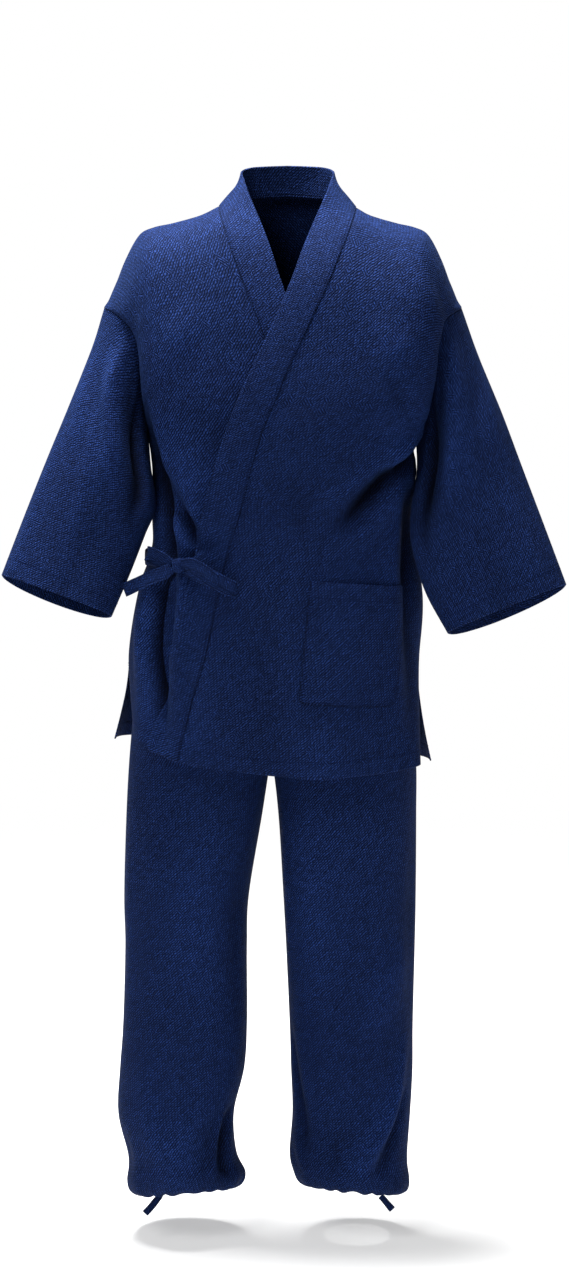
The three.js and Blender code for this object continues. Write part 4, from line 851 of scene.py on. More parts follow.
sleeveFolds = [
    [(60, 0.02, 0, 16), (76, 0.18, 9, 17), (92, 0.38, 9, 17), (104, 0.62, 0, 18)],
    [(104, 0.05, 0, 16), (120, 0.22, -8, 17), (132, 0.45, -7, 18), (138, 0.66, 0, 18)],
    [(30, 0.22, 0, 14), (44, 0.40, 5, 16), (52, 0.58, 0, 16)],
    [(300, 0.08, 0, 18), (270, 0.30, -7, 20), (240, 0.55, 0, 20)],
]
# Finer creases, not alike on the two sleeves
sleeveCreases = {
    "right": [
        [(126, 0.00, 0, 7), (128, 0.12, -8, 8), (132, 0.34, -10, 9), (138, 0.56, -5, 9),
         (142, 0.72, 0, 9)],
        [(66, 0.04, 0, 8), (76, 0.20, 6, 8), (88, 0.42, 6, 9), (94, 0.62, 0, 9)],
        [(62, 0.30, 0, 6), (70, 0.46, 3.0, 7), (80, 0.66, 2.4, 8), (86, 0.86, 0, 8)],
        [(96, 0.16, 0, 7), (108, 0.34, -3.0, 7), (114, 0.52, 0, 8)],
        [(22, 0.45, 0, 8), (30, 0.68, 2.4, 9), (34, 0.98, 1.6, 10)],
        [(150, 0.30, 0, 8), (146, 0.55, 2.6, 9), (140, 0.84, 0, 9)],
        [(110, 0.62, 0, 9), (104, 0.80, -2.2, 10), (100, 1.01, -2.4, 10)],
        [(312, 0.30, 0, 9), (290, 0.52, 3.0, 9), (278, 0.78, 0, 10)],
        [(236, 0.40, 0, 9), (250, 0.66, 2.6, 10), (256, 0.96, 1.6, 10)],
        [(210, 0.10, 0, 8), (222, 0.26, 3.4, 8), (236, 0.44, 0, 8)],
    ],
    "left": [
        [(128, 0.00, 0, 7), (130, 0.12, -9, 8), (134, 0.34, -10, 9), (140, 0.60, -6, 9),
         (144, 0.80, 0, 9)],
        [(84, 0.06, 0, 8), (92, 0.22, 4, 9), (98, 0.40, 4, 9), (104, 0.56, 0, 9)],
        [(70, 0.26, 0, 7), (76, 0.44, 2.4, 7), (82, 0.60, 0, 8)],
        [(100, 0.20, 0, 7), (112, 0.40, -2.8, 7), (120, 0.62, 0, 8)],
        [(46, 0.52, 0, 9), (52, 0.74, 2.0, 10), (56, 0.99, 2.0, 11)],
        [(148, 0.26, 0, 8), (140, 0.50, 2.8, 8), (134, 0.76, 0, 9)],
        [(86, 0.70, 0, 9), (92, 0.86, -2.0, 10), (94, 1.01, -2.2, 10)],
        [(300, 0.40, 0, 9), (284, 0.62, 2.8, 9), (270, 0.86, 0, 10)],
        [(216, 0.12, 0, 8), (230, 0.30, 3.2, 8), (240, 0.50, 0, 9)],
        [(250, 0.56, 0, 9), (258, 0.78, -2.6, 10), (262, 1.01, -2.0, 10)],
    ],
}


def sleeveBase(side, turn, along):
    turn, along = np.broadcast_arrays(np.asarray(turn, float) % 360, along)
    face = np.where(turn <= 180, -1.0, 1.0)
    at = 2 - np.where(face < 0, turn, 360 - turn) / 180
    stations = [jacketBase(face, side * quarter, at)]
    c, s = np.cos(np.radians(turn)), np.sin(np.radians(turn))
    rows = table(sleeve["names"], sleeve["right" if side < 0 else "left"])
    for outX, outY, outZ, inX, inY, inZ, front, behind in zip(
            *(rows[key] for key in sleeve["names"].split()[1:])):
        depth = np.where(s > 0, front, behind) * s
        tilt = np.where(s > 0, sleeve["frontTilt"], sleeve["backTilt"])
        share = (1 + c) / 2
        stations.append(np.stack([side * mix(inX, outX, share), mix(inY, outY, share) - depth,
                                  mix(inZ, outZ, share) + tilt * depth], -1))
    keys, stations = np.append(0, rows["along"]), np.stack(stations)
    return np.stack([follow(keys, stations[..., axis], along) for axis in range(3)], -1)


def sleevePanel(name, side):
    turn = np.linspace(0, 360, sleeve["columns"] + 1)[None]
    along = np.linspace(0, 1, sleeve["rows"] + 1)[:, None]
    turn, along = np.broadcast_arrays(turn, along)
    at = np.clip(along, 0.02, 0.98)  # a little inside the ends, so both steps have cloth beside them
    axis = (sleeveBase(side, 0, at) + sleeveBase(side, 180, at)) / 2
    normal = surfaceNormal(lambda u, v: sleeveBase(side, u, v), turn, at, 2, 0.02, axis)
    rise = turnRise(sleeveFolds + sleeveCreases[name], turn, along)
    outer = sleeveBase(side, turn, along) + normal * rise[..., None]
    cuff = smooth(*sleeve["cuffStart"], along)
    thickness = mix(sleeve["thickness"], sleeve["cuffThickness"], cuff)
    panel = makePanel(outer, thickness, axis, 0, tube=True)
    panel["fold"] = rise
    addSeams(panel, fromFirst(panel, "along"))
    inseam = np.abs(turn - 180) * fromLast(panel, "across").max() / 360
    addSeams(panel, inseam)
    addSewing(panel, fromLast(panel, "along") - sleeve["cuffHem"])
    sewLine("jacket", panel, rowAt(panel, panel["along"][-1, 0] - sleeve["cuffHem"]),
            np.arange(sleeve["columns"] + 1))
    return panel


sleeveSize = {"slot": "cloth", "flat": (0.46, 0.44), "area": 0.19, "held": "hung"}
for name, side in (("right", -1), ("left", 1)):
    hang(clothPiece(f"sleeve_{name}_cloth", sleevePanel(name, side), cloth),
         {**sleeveSize, "node": f"sleeve_{name}",
          "restsOn": [f"jacket_front_{name}_cloth", "jacket_back_cloth"]})
print("sleeves made")

# Collar band: from one hem up the front, round the neck and down the other front
collar = {
    "node": "collar", "slot": "band_cloth", "flat": (0.055, 2.05), "held": "folded",
    "restsOn": ["jacket_front_right_cloth", "jacket_front_left_cloth", "jacket_back_cloth"],
    "lift": 1.0, "thickness": 3.0, "crown": 0.9, "columns": 14, "napeSteps": 64, "napeMiddle": 12,
    "stitchFromSeam": 3, "seamGap": 0.006,
    "rise": table("level free x y height", [
        (1.78, 0.00, 32, -76, 1438), (1.86, 0.30, 42, -56, 1462), (1.93, 0.75, 51, -34, 1484),
        (1.97, 1.00, 57, -14, 1500), (2.00, 1.00, 61, 4, 1512)]),
    "nape": table("turn x y height", [
        (0.00, 61, 4, 1512), (0.30, 64, 30, 1524), (0.60, 50, 52, 1530), (0.80, 27, 62, 1532),
        (1.00, 0, 65, 1533)]),
}


# Lines across the band up one front, which leaves the cloth below the neck
def bandLines(side, share):
    at = jacketRows[:-1, None]
    seam, edge = (frontAngle(wrapLine(line, at, side), at) for line in ("seam", "edge"))
    angle = mix(seam, edge, share)
    lying = jacketPoint(-1, angle, at, wrapLift(side, side * angle, at))
    rising = at >= collar["rise"]["level"][0]
    free = smooth(0, 1, np.where(rising, read(collar["rise"], "level", at, "free"), 0))[..., None]
    stand = np.stack([
        read(jacket["lean"], "level", at, "x") + side * read(collar["rise"], "level", at, "x"),
        read(collar["rise"], "level", at, "y"), read(collar["rise"], "level", at, "height")], -1)
    edge = mix(lying[:, -1:], stand, free)
    chord = mix(lying[:, :1], edge, share[..., None])
    return mix(lying, chord, smooth(0, 0.25, free))


# Lines across the band round the back of the neck
def napeLines(share):
    half = back["neckColumns"] / 2
    column = np.linspace(-half, half, collar["napeSteps"] + 1)[:, None]
    turn = 1 - np.abs(column) / half
    seam = jacketFolded(1, backAngle(column), np.array(2.0))
    x = collar["napeMiddle"] + np.sign(column) * read(collar["nape"], "turn", turn, "x")
    y, height = (read(collar["nape"], "turn", turn, key) for key in ("y", "height"))
    return mix(seam, np.stack([x, y, height], -1), share[..., None])


def collarPanel():
    share = np.linspace(0, 1, collar["columns"] + 1)[None]
    share[0, 0] = collar["seamGap"]  # a hair off the seam
    centre = np.concatenate([bandLines(-1, share), napeLines(share), bandLines(1, share)[::-1]])
    normals = gridNormals(centre)
    if np.sum(normals[:jacket["upperRows"], :, 1]) > 0:  # the lower part of the band faces forwards
        normals = -normals
    crown = collar["lift"] + collar["crown"] * np.sin(np.pi * share[..., None])
    outer = centre + normals * crown
    panel = makePanel(outer, collar["thickness"], centre - normals * 10, 0)
    addSeams(panel, fromFirst(panel, "across"))
    addSewing(panel, fromFirst(panel, "across") - collar["stitchFromSeam"])
    sewLine("collar", panel, np.arange(len(outer)), columnAt(panel, collar["stitchFromSeam"]))
    return panel


hang(clothPiece("collar_band_cloth", collarPanel(), bandCloth), collar)
print("collar made")

# Patch pocket on the overlapping front, its mouth a little open
pocket = {
    "node": "pocket", "slot": "cloth", "flat": (0.14, 0.175), "held": "laid",
    "restsOn": ["jacket_front_left_cloth"], "left": 47, "right": 175, "top": 968, "bottom": 802,
    "fall": 12, "slant": 14, "gape": 3, "lift": 0.8, "thickness": 1.7, "rows": 48, "columns": 40,
    "stitchInset": 3, "mouthHem": 22, "corner": 7, "cornerHeight": 14, "edgeShade": 0.8,
    "sag": 0.8, "slack": 0.5,
}


def pocketPanel():
    across = np.linspace(0, 1, pocket["columns"] + 1)[None]
    up = np.linspace(0, 1, pocket["rows"] + 1)[:, None]
    across, up = np.broadcast_arrays(across, up)
    # the two lower corners are rounded
    edge = np.minimum(across, 1 - across) * (pocket["right"] - pocket["left"])
    low = up * (pocket["top"] - pocket["bottom"])
    lifted = np.maximum(0, pocket["corner"] - edge) ** 2 / (2 * pocket["corner"])
    lifted = lifted * bell(low / pocket["cornerHeight"])
    height = mix(pocket["bottom"], pocket["top"], up) - pocket["fall"] * across + lifted
    at = follow(jacket["levels"]["height"], jacket["levels"]["level"], height)
    angle = frontAngle(mix(pocket["left"], pocket["right"], across) - pocket["slant"] * (1 - up), at)
    gape = pocket["gape"] * smooth(0.8, 1, up) * np.sin(np.pi * across)
    sag = pocket["sag"] * np.sin(np.pi * across) * np.sin(np.pi * up)
    sag = sag + pocket["slack"] * np.sin(9 * across + 2) * up
    lift = wrapLift(1, angle, at) + pocket["lift"] + gape + sag + pocket["thickness"]
    outer = jacketPoint(-1, angle, at, lift)
    panel = makePanel(outer, pocket["thickness"], jacketAxis(at), pocket["columns"] // 2)
    inset = pocket["stitchInset"]
    sides = np.minimum(fromFirst(panel, "across"), fromLast(panel, "across"))
    addSeams(panel, sides - pocket["edgeShade"], fromFirst(panel, "along") - pocket["edgeShade"])
    addSewing(panel, sides - inset, fromFirst(panel, "along") - inset,
              fromLast(panel, "along") - pocket["mouthHem"])
    rows, columns = np.arange(pocket["rows"] + 1), np.arange(pocket["columns"] + 1)
    low, high = rowAt(panel, inset), rowAt(panel, panel["along"][-1, 0] - pocket["mouthHem"])
    kept = rows[rows >= low]
    first, last = columnAt(panel, inset), columnAt(panel, inset, last=True)
    sewLine("pocket", panel, kept, first[kept])
    sewLine("pocket", panel, kept, last[kept])
    inner = columns[(columns >= first[0]) & (columns <= last[0])]
    sewLine("pocket", panel, low, inner)
    sewLine("pocket", panel, high, inner)
    return panel


hang(clothPiece("pocket_cloth", pocketPanel(), cloth), pocket)
print("pocket made")

# Trousers: rows from the waist to the turned hem
leg = {
    "names": "height inner outer front back middle",
    "right": [
        (1068, -148, 148, 112, 98, -5), (1000, -120, 162, 116, 106, -7), (900, -62, 184, 112, 114.2, -9),
        (800, -18, 192, 106, 118.2, -11), (705, 0, 201, 94, 110, -11), (622, 13, 206, 92, 98, -11),
        (506, 32, 210, 85, 90, -11), (431, 35, 209, 81, 86, -11), (318, 35, 213, 78, 84, -11),
        (252, 39, 218, 77, 84, -11), (186, 54, 221, 75, 84, -11), (126, 51, 207, 74, 84, -11),
        (96, 38, 209, 74, 83, -11), (79, 43, 204, 67, 74, -11), (72, 60, 188, 52, 60, -11),
        (80, 74, 172, 42, 48, -11)],
    "left": [
        (1068, -148, 148, 112, 98, -5), (1000, -120, 166, 116, 106, -7), (900, -62, 188, 112, 114.2, -9),
        (800, -18, 195, 106, 118.2, -11), (705, 0, 205, 94, 110, -11), (622, 10, 206, 92, 98, -11),
        (506, 17, 206, 85, 90, -11), (431, 21, 205, 81, 86, -11), (318, 26, 203, 78, 84, -11),
        (252, 28, 203, 77, 84, -11), (186, 30, 200, 75, 84, -11), (126, 26, 196, 74, 84, -11),
        (99, 31, 199, 74, 83, -11), (81, 40, 196, 67, 74, -11), (74, 58, 178, 52, 60, -11),
        (82, 72, 164, 42, 48, -11)],
    "round": 2.2, "hemTilt": 0.25, "outerDrop": 12, "tilted": (10, 12), "columns": 88, "step": 5.5,
    "gather": 2.2, "pleats": 16, "pleatRows": 3.4, "highPleats": 0.22, "foldsEnd": (12.8, 13.6),
    "turnedRow": 11, "turnedSteps": 7, "thickness": 1.5,
}
legFolds = {
    "right": [
        [(60, 230, 0, 18), (84, 170, 6, 18), (96, 110, 7, 18), (100, 60, 0, 18)],
        [(30, 215, 0, 16), (44, 160, -7, 16), (52, 105, -5, 16), (60, 66, 0, 16)],
        [(76, 640, 0, 20), (80, 480, 5, 22), (74, 330, 0, 22)],
        [(262, 680, 0, 22), (268, 470, -6, 22), (258, 240, 5, 22), (262, 110, 0, 20)],
        # the ridge and the trough of the fold at the inner ankle, then fine creases
        [(37, 212, 0, 6), (42, 180, 6, 6), (54, 120, 6, 7), (63, 84, 0, 7)],
        [(24, 206, 0, 7), (29, 172, -8, 7), (41, 116, -7, 8), (50, 86, 0, 8)],
        [(20, 176, 0, 7), (30, 140, 3.2, 8), (36, 100, 0, 8)],
        [(128, 300, 0, 9), (120, 220, 2.4, 10), (112, 130, 2.2, 10), (110, 84, 0, 10)],
        [(152, 690, 0, 8), (150, 480, 2.6, 9), (154, 240, 0, 9)],
        [(34, 600, 0, 9), (38, 440, -2.4, 10), (34, 290, 0, 9)],
        [(150, 176, 0, 8), (158, 140, -3, 9), (160, 100, 0, 9)],
        [(300, 640, 0, 9), (292, 420, 2.8, 10), (300, 200, 0, 10)],
        [(228, 300, 0, 9), (236, 200, 3, 10), (240, 96, 0, 10)],
    ],
    "left": [
        [(136, 250, 0, 18), (118, 190, 7, 17), (100, 120, 6, 17), (92, 64, 0, 16)],
        [(142, 460, 0, 18), (124, 380, 5, 18), (110, 310, 0, 18)],
        [(48, 660, 0, 20), (54, 500, 5, 20), (50, 330, 0, 20)],
        [(280, 690, 0, 22), (274, 480, -6, 22), (284, 250, 5, 22), (278, 110, 0, 20)],
        # the ridge and the trough of the fold at the outer ankle, then fine creases
        [(148, 320, 0, 8), (139, 262, 5, 8), (128, 205, 8, 7), (116, 160, 8, 7), (102, 90, 0, 8)],
        [(146, 240, 0, 6), (139, 196, -8, 7), (128, 150, -8, 8), (115, 94, 0, 9)],
        [(16, 330, 0, 6), (24, 255, -6, 7), (38, 175, -6, 8), (45, 100, 0, 8)],
        [(26, 690, 0, 8), (24, 500, 2.4, 9), (22, 340, 0, 8)],
        [(156, 640, 0, 8), (150, 460, -2.4, 9), (154, 300, 0, 8)],
        [(70, 200, 0, 9), (76, 150, -2.6, 9), (74, 92, 0, 9)],
        [(16, 150, 0, 8), (24, 120, -3, 8), (30, 88, 0, 8)],
        [(242, 620, 0, 9), (250, 420, 2.8, 10), (244, 220, 0, 10)],
        [(310, 280, 0, 9), (300, 190, -3, 10), (296, 100, 0, 10)],
    ],
}


def legTable(name):
    rows = table(leg["names"], leg[name])
    rows["place"] = np.arange(len(rows["height"]), dtype=float)
    return rows


def legBase(rows, side, face, turn, at):
    turn, at = np.broadcast_arrays(np.asarray(turn, float), at)
    value = {key: read(rows, "place", at, key) for key in leg["names"].split()}
    flipped = turn > 180
    turn = np.where(flipped, 360 - turn, turn)
    opened = value["inner"] < 0
    mirrored = turn < 0
    turn = np.where(mirrored, np.where(opened, 0, -turn), turn)
    face = face * np.where(flipped, -1, 1) * np.where(mirrored & ~opened, -1, 1)
    centre, half = (value["inner"] + value["outer"]) / 2, (value["outer"] - value["inner"]) / 2
    begin = np.where(opened, np.arccos(np.clip(centre / half, -1, 1)), 0)
    across, depth = section(mix(begin, math.pi, turn / 180) - quarter, leg["round"])
    y = face * np.where(face < 0, value["front"], value["back"]) * np.maximum(0, depth)
    tilt = leg["hemTilt"] * y + leg["outerDrop"] * (1 + across) / 2
    x = value["middle"] + side * np.maximum(0, centre + half * across)
    return np.stack([x, y, value["height"] - tilt * smooth(*leg["tilted"], at)], -1)


def legPlaces(rows):
    places = []
    for index, gap in enumerate(np.abs(np.diff(rows["height"]))):
        least = leg["turnedSteps"] if index > leg["turnedRow"] else 1
        steps = max(int(math.ceil(gap / leg["step"])), least)
        places.append(index + np.arange(steps) / steps)
    return np.append(np.concatenate(places), len(rows["height"]) - 1)


def legPanel(name, side, face):
    rows = legTable(name)
    last = rows["place"][-1]
    turn = np.linspace(0, 180, leg["columns"] + 1)[None]
    at = legPlaces(rows)[:, None]
    turn, at = np.broadcast_arrays(turn, at)
    turned = at > last - 1.6
    inner, outerEdge = read(rows, "place", at, "inner"), read(rows, "place", at, "outer")
    height = read(rows, "place", at, "height")
    axis = np.stack([read(rows, "place", at, "middle") + side * (np.maximum(0, inner) + outerEdge) / 2,
                     0 * height, height + np.where(turned, 40, 0)], -1)
    normal = surfaceNormal(lambda u, v: legBase(rows, side, face, u, np.clip(v, 0, last)),
                           turn, at, 4, 0.08, axis)
    middle = (inner <= 0) & (turn == 0)
    normal[..., 0] = np.where(middle, 0, normal[..., 0])
    normal = unit(normal)
    around = turn if face < 0 else 360 - turn
    rise = turnRise(legFolds[name], around, height) * smooth(0, 20, turn)
    rise = rise * (1 - smooth(*leg["foldsEnd"], at))
    # the drawn-up hem is pleated, and its pleats run out a little higher up
    high = leg["highPleats"] * smooth(last - 5.5, last - 2.5, at) * (1 - smooth(last - 2.5, last, at))
    share = smooth(last - leg["pleatRows"], last, at) + high
    fade = smooth(0, 8, turn) * smooth(0, 8, 180 - turn)
    phase = math.pi * leg["pleats"] * turn / 180
    pleats = -np.cos(phase + 0.9 * np.sin(phase * 0.37)) * (0.7 + 0.3 * np.cos(phase * 0.21 + side))
    gathered = leg["gather"] * share * pleats * fade
    outer = legBase(rows, side, face, turn, at) + normal * (rise + gathered)[..., None]
    panel = makePanel(outer, leg["thickness"], axis, leg["columns"] // 2)
    panel["fold"] = rise
    addSeams(panel, fromFirst(panel, "across"), fromLast(panel, "across"))
    return panel


legSize = {"slot": "cloth", "flat": (0.36, 1.10), "area": 0.34, "held": "gathered"}
for name, side in (("right", -1), ("left", 1)):
    for part, face in (("front", -1), ("back", 1)):
        node = f"trouser_{part}_{name}"
        hang(clothPiece(f"{node}_cloth", legPanel(name, side, face), cloth),
             {**legSize, "node": node, "restsOn": ["waistband"]})
print("trousers made")

waistband = {
    "node": "waistband", "slot": "band_cloth", "flat": (1.0, 0.04), "area": 0.036, "held": "gathered",
    "low": 1068.3, "high": 1100, "width": 32, "casing": 8, "narrowing": 3, "gather": 2, "gathers": 28,
    "crumple": 0.5, "columns": 336, "rows": 14, "thickness": 3.0,
}


def waistbandPanel():
    top = {key: value[0] for key, value in legTable("right").items()}
    angle = np.linspace(0, 2 * math.pi, waistband["columns"] + 1)[None]
    up = np.linspace(0, 1, waistband["rows"] + 1)[:, None]
    angle, up = np.broadcast_arrays(angle, up)
    across, depth = section(angle, leg["round"])
    wave = waistband["gather"] * up * (np.cos(angle * waistband["gathers"]) - 1) / 2
    crumple = np.sin(angle * 61 + 2 * np.sin(angle * 5)) * np.sin(np.pi * up)
    wave = wave + waistband["crumple"] * crumple
    reach = wave - waistband["narrowing"] * up
    x = top["middle"] + (top["outer"] + reach) * across
    y = -np.where(depth > 0, top["front"] + reach, top["back"] + reach) * depth
    outer = np.stack([x, y, mix(waistband["low"], waistband["high"], up)], -1)
    axis = np.array([top["middle"], 0, mix(waistband["low"], waistband["high"], 0.5)])
    panel = makePanel(outer, waistband["thickness"], axis, 0, tube=True)
    addSeams(panel, fromFirst(panel, "along"))
    for inset in (waistband["casing"], waistband["width"] - waistband["casing"]):
        sewLine("waistband", panel, rowAt(panel, inset), np.arange(waistband["columns"] + 1))
    half = waistband["width"] / 2
    addSewing(panel, np.abs(panel["along"] - half) - (half - waistband["casing"]))
    return panel


hang(clothPiece("waistband_cloth", waistbandPanel(), bandCloth), waistband)
print("waistband made")

# Tie: tapes along smooth ways. Rows are x, y, height and lean of the tape's width in degrees
tie = {
    "width": 18, "thickness": 1.9, "columns": 8, "cup": 0.5, "slot": "tape",
    "front_tie": [(-121, -113, 989, 0), (-123.6, -113.2, 989, 0), (-126.4, -113.4, 989, 0)],
    "side_tie": [(-185, -3, 992, 0), (-186, -26, 991, 0), (-181, -54, 990, 0), (-169, -82, 989, 0),
                 (-154, -101.5, 988, 0), (-145.4, -110, 988, 0)],
    "bow_loop_front": [
        (-128, -122, 988, 10), (-117, -131, 987, 16), (-102, -138, 982, 20), (-84, -143, 973, 20),
        (-68, -145, 964, 16), (-59, -142, 957, 10), (-63, -138, 956, 6), (-80, -135, 963, 6),
        (-100, -130, 972, 6), (-117, -124, 979, 6), (-127.4, -116, 983, 6)],
    "bow_tail_front": [(-131.2, -124.9, 991, 8), (-118, -137, 992, 20), (-105, -144, 987, 22),
                       (-95, -147.5, 980, 22), (-86, -149, 973, 22)],
    "bow_loop_side": [
        (-147.5, -117, 990, 0), (-157, -110, 996, -10), (-169, -98, 1001, -10), (-179, -84, 1002, 0),
        (-180.5, -76, 1000, 0), (-175, -82, 996, 0), (-163, -98, 992, 0), (-147.3, -113, 988, 0)],
    "bow_tail_side": [(-146.6, -121.6, 984, 0), (-157, -118.5, 978, 8), (-176, -109, 970, 10),
                      (-195, -97, 960, 6), (-213, -88, 951, 0)],
}
ankleTape = {
    "width": 10, "thickness": 1.7, "columns": 6, "cup": 0.3, "slot": "tape",
    "ankle_tape_right": [(-170.5, -34, 71.9, 0), (-177.5, -38, 63.5, 0), (-185, -41, 55, 0),
                         (-192, -43, 48, 0)],
    "ankle_tape_left": [(146, -36, 70.9, 0), (151, -39, 66, 0), (156, -42, 60.5, 0), (162, -44, 54, 0)],
}


# Centripetal curve through points, at shares of its length in points
def wayPoints(points, shares):
    points = np.array(points, float)
    count = len(points)
    place = shares * (count - 1)
    first = np.minimum(place.astype(int), count - 2)
    weight = place - first
    before, after = 2 * points[0] - points[1], 2 * points[-1] - points[-2]
    padded = np.concatenate([[before], points, [after]])
    p = [padded[first + step] for step in range(4)]
    spans = [np.linalg.norm(b - a, axis=1)[:, None] for a, b in zip(p, p[1:])]
    gap = [np.maximum(span, 1e-6) ** 0.5 for span in spans]
    t1 = ((p[1] - p[0]) / gap[0] - (p[2] - p[0]) / (gap[0] + gap[1]) + (p[2] - p[1]) / gap[1]) * gap[1]
    t2 = ((p[2] - p[1]) / gap[1] - (p[3] - p[1]) / (gap[1] + gap[2]) + (p[3] - p[2]) / gap[2]) * gap[1]
    w = weight[:, None]
    return (p[1] + t1 * w + (-3 * p[1] + 3 * p[2] - 2 * t1 - t2) * w**2
            + (2 * p[1] - 2 * p[2] + t1 + t2) * w**3)


tapeShape = {"step": 1.6, "gripReach": 9, "foldReach": 12, "foldDepth": 1.3, "sway": 0.35,
             "swayLength": 7, "stitchInset": 1.8}


def tapePiece(name, settings, material, pinch=0.0):
    rows = settings[name]
    length = sum(math.dist(a[:3], b[:3]) for a, b in zip(rows, rows[1:]))
    shares = np.linspace(0, 1, max(6, int(length / tapeShape["step"])) + 1)
    way = wayPoints([row[:3] for row in rows], shares)
    along = unit(np.gradient(way, axis=0))
    up = np.array([0, 0, 1.0])
    upright = unit(up - along * (along @ up)[:, None])
    sideways = np.cross(along, upright)
    lean = np.interp(shares * (len(rows) - 1), np.arange(len(rows)), [row[3] for row in rows])
    lean = np.radians(lean)[:, None]
    wide = upright * np.cos(lean) + sideways * np.sin(lean)
    padded = np.pad(wide, ((4, 4), (0, 0)), mode="edge")
    wide = unit(sum(padded[step:step + len(wide)] for step in range(9)))  # no kink where a loop turns
    thick = unit(np.cross(along, wide))
    edge = np.linspace(-0.5, 0.5, settings["columns"] + 1)[None, :, None]
    # narrower and folded where the knot grips it, a little cupped and uneven along its way
    gone = (shares * length)[:, None, None]
    grip = 1 - pinch * bell(gone / tapeShape["gripReach"])
    sway = tapeShape["sway"] * np.sin(gone / tapeShape["swayLength"]) * 2 * edge
    cup = settings["cup"] * (1 - (2 * edge) ** 2) + sway
    gathered = bell(gone / tapeShape["foldReach"])
    folds = tapeShape["foldDepth"] * pinch * np.cos(edge * 4 * math.pi) * gathered
    across = wide[:, None] * edge * settings["width"] * grip
    centre = way[:, None] + across + thick[:, None] * (cup + folds)
    half = settings["thickness"] / 2
    normals = thick[:, None] + 0 * centre
    panel = makePanel(centre + normals * half, settings["thickness"], centre - normals * 10,
                      settings["columns"] // 2)
    sides = np.minimum(fromFirst(panel, "across"), fromLast(panel, "across"))
    addSewing(panel, sides - tapeShape["stitchInset"])
    return clothPiece(f"{name}_cloth", panel, material), length / 1000


# Knot: a rounded core and the tape that wraps it
knot = {"node": "bow_knot", "slot": "tape", "x": -137, "y": -116, "z": 988, "width": 18, "height": 19,
        "depth": 17, "waist": 0.12, "waistReach": 0.35, "dent": 0.07, "dentPlace": 0.62,
        "dentReach": 0.16, "uneven": 0.05, "boxy": 3.2, "wrapWidth": 11, "wrapThickness": 1.6,
        "wrapInset": 0.88, "tilt": 12}


def knotCore():
    bpy.ops.mesh.primitive_uv_sphere_add(segments=48, ring_count=28, radius=1)
    piece = bpy.context.object
    piece.name = piece.data.name = "bow_knot_core"
    points = np.empty(len(piece.data.vertices) * 3)
    piece.data.vertices.foreach_get("co", points)
    points = points.reshape(-1, 3)
    reach = np.sum(np.abs(points) ** knot["boxy"], axis=1, keepdims=True) ** (1 / knot["boxy"])
    a, c, b = (points / reach).T
    dents = bell((np.abs(a) - knot["dentPlace"]) / knot["dentReach"]) * (1 + np.sin(5 * b + 2))
    pinchIn = 1 - knot["waist"] * bell(a / knot["waistReach"]) - knot["dent"] * dents
    x = knot["x"] + a * knot["width"] / 2 * (1 - knot["uneven"] * np.cos(4 * b))
    y = knot["y"] + c * knot["depth"] / 2 * pinchIn
    z = knot["z"] + b * knot["height"] / 2 * pinchIn
    piece.data.vertices.foreach_set("co", toMetres(np.stack([x, y, z], -1)).ravel())
    weaveMap = piece.data.uv_layers.active
    weaveMap.name = "weave"
    uv = np.empty(len(piece.data.loops) * 2)
    weaveMap.data.foreach_get("uv", uv)
    weaveMap.data.foreach_set("uv", (uv.reshape(-1, 2) * [0.05, 0.03]).ravel())  # its size in metres
    for key, value in (("seam", 0.09), ("sewing", 0.09), ("fold", 0)):
        values = piece.data.attributes.new(key, "FLOAT", "POINT")
        values.data.foreach_set("value", np.full(len(piece.data.vertices), value, np.float32))
    piece.data.materials.append(tapeCloth)
    smoothShade(piece, 60)
    return piece


def knotWrap():
    angle = np.linspace(0, 2 * math.pi, 97)[:, None]
    edge = np.linspace(-1, 1, 11)[None]
    angle, edge = np.broadcast_arrays(angle, edge)
    s, c = section(angle, 2.8)
    grow = 1.6 - 1.1 * edge**2 + 0.35 * np.cos(edge * 9 + 1.5 * np.sin(angle))
    lean = math.tan(math.radians(knot["tilt"])) * c * knot["height"] / 2
    x = knot["x"] + edge * knot["wrapWidth"] / 2 + lean
    y = knot["y"] + s * (knot["depth"] / 2 * knot["wrapInset"] + grow)
    z = knot["z"] + c * (knot["height"] / 2 * knot["wrapInset"] + grow)
    outer = np.stack([x, y, z], -1).transpose(1, 0, 2)
    middle = np.array([knot["x"], knot["y"], knot["z"]])
    panel = makePanel(outer, knot["wrapThickness"], middle, 0, tube=True)
    return clothPiece("bow_knot_wrap", panel, tapeCloth)


tapeHolds = {"front_tie": "stretched", "side_tie": "stretched", "bow_loop_front": "folded",
             "bow_tail_front": "hung", "bow_loop_side": "folded", "bow_tail_side": "hung"}
hang(knotCore(), knot)
hang(knotWrap(), {**knot, "flat": (0.011, 0.062), "held": "folded", "restsOn": ["bow_knot_core"]})
for name, held in tapeHolds.items():
    grip = 0.0 if name.endswith("_tie") else 0.3
    piece, length = tapePiece(name, tie, tapeCloth, grip)
    width = tie["width"] / 1000
    hang(piece, {"node": name, "slot": "tape", "flat": (width, max(length, 0.01)), "held": held,
                 "restsOn": ["bow_knot_core"]})
for name in ("ankle_tape_right", "ankle_tape_left"):
    piece, length = tapePiece(name, ankleTape, tapeCloth)
    width = ankleTape["width"] / 1000
    hang(piece, {"node": name, "slot": "tape", "flat": (width, length), "held": "hung"})
print("tie and tapes made")

for group, lines in stitchLines.items():
    sewStitches(f"{group}_stitches", lines, {"slot": "cloth"})
print("stitches made")

# Studio: pale floor, soft lights and a white surround
studio = {"floorRadius": 40, "floorHeight": -1.470, "floorColour": 0.8, "floorGlow": 0.42,
          "fade": (0.9, 3.4), "ambient": 0.14}


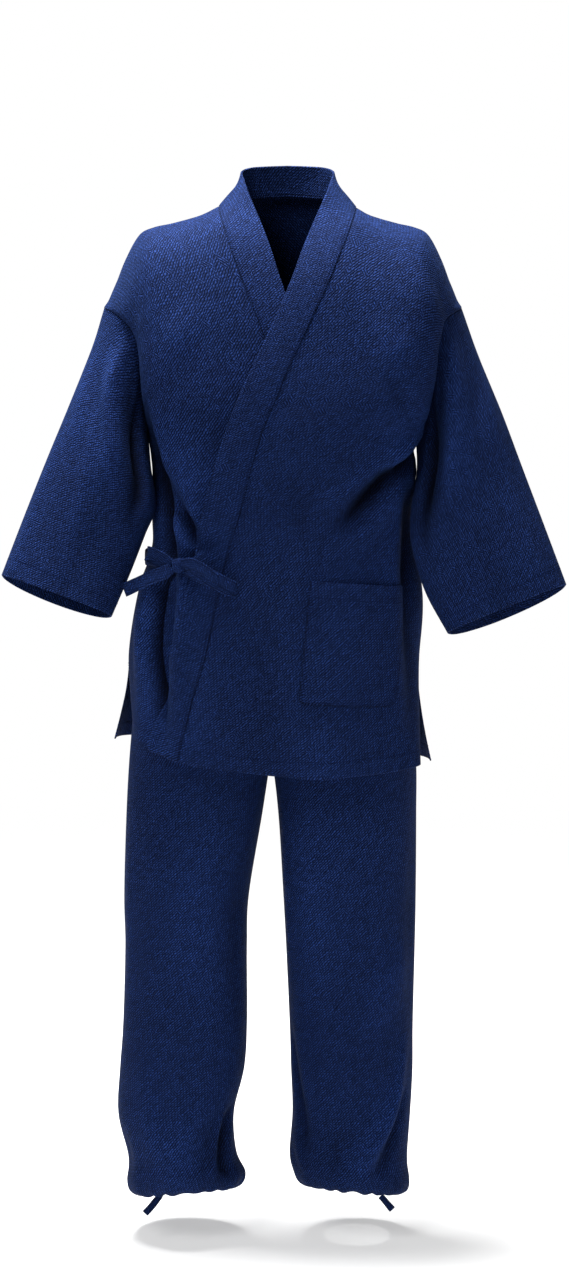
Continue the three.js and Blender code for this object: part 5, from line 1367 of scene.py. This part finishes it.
# A pale floor that fades to white away from the garment
def floorMaterial():
    material = bpy.data.materials.new("pale floor")
    material.use_nodes = True
    tree = material.node_tree
    shader = tree.nodes["Principled BSDF"]
    distance = tree.nodes.new("ShaderNodeVectorMath")
    distance.operation = "LENGTH"
    tree.links.new(tree.nodes.new("ShaderNodeTexCoord").outputs["Object"], distance.inputs[0])
    far = distance.outputs["Value"]
    for label, near, away in (("Base Color", studio["floorColour"], 0),
                              ("Emission Color", studio["floorGlow"], 1)):
        tree.links.new(ramp(tree, far, *studio["fade"], near, away), shader.inputs[label])
    shader.inputs["Emission Strength"].default_value = 1
    shader.inputs["Roughness"].default_value = 0.9
    shader.inputs["Specular IOR Level"].default_value = 0
    return material


bpy.ops.object.select_all(action="DESELECT")
bpy.ops.mesh.primitive_circle_add(vertices=96, radius=studio["floorRadius"], fill_type="NGON",
                                  location=(0, 0, studio["floorHeight"]))
floor = bpy.context.object
floor.name = "floor"
floor.data.materials.append(floorMaterial())


def softbox(name, location, target, size, power):
    light = bpy.data.lights.new(name, "AREA")
    light.shape = "RECTANGLE"
    light.size, light.size_y = size
    light.energy = power
    lamp = bpy.data.objects.new(name, light)
    bpy.context.collection.objects.link(lamp)
    lamp.location = location
    direction = [b - a for a, b in zip(location, target)]
    flat = math.hypot(direction[0], direction[1])
    turn = math.atan2(direction[1], direction[0]) - quarter
    lamp.rotation_euler = (math.atan2(flat, -direction[2]), 0, turn)


softbox("key light", (-1.7, -2.9, 2.1), (0, 0, -0.7), (1.2, 1.5), 62)
softbox("fill light", (2.3, -2.8, 0.7), (0, 0, -0.8), (1.4, 2.0), 14)
softbox("top light", (-0.35, 0.1, 1.6), (0, -0.05, 0), (1.1, 0.7), 205)

world = bpy.data.worlds.new("studio")
world.use_nodes = True
surround = world.node_tree
background = surround.nodes["Background"]
background.inputs["Color"].default_value = (1, 1, 1, 1)
seen = surround.nodes.new("ShaderNodeLightPath").outputs["Is Camera Ray"]
surround.links.new(ramp(surround, seen, 0, 1, studio["ambient"], 1), background.inputs["Strength"])
bpy.context.scene.world = world
bpy.context.scene.view_settings.view_transform = "Standard"

# focal and frame are in pixels of the long side, and pitch is in degrees down from level
view = {"sensor": 36, "focal": 2714, "frame": 1287, "location": (0.0077, -3.8, -0.12), "pitch": 7.26}
camera = bpy.data.cameras.new("camera")
camera.sensor_width = view["sensor"]
camera.lens = view["sensor"] * view["focal"] / view["frame"]
cameraObject = bpy.data.objects.new("camera", camera)
bpy.context.collection.objects.link(cameraObject)
cameraObject.location = view["location"]
cameraObject.rotation_euler = (math.radians(90 - view["pitch"]), 0, 0)
bpy.context.scene.camera = cameraObject
print("studio made")
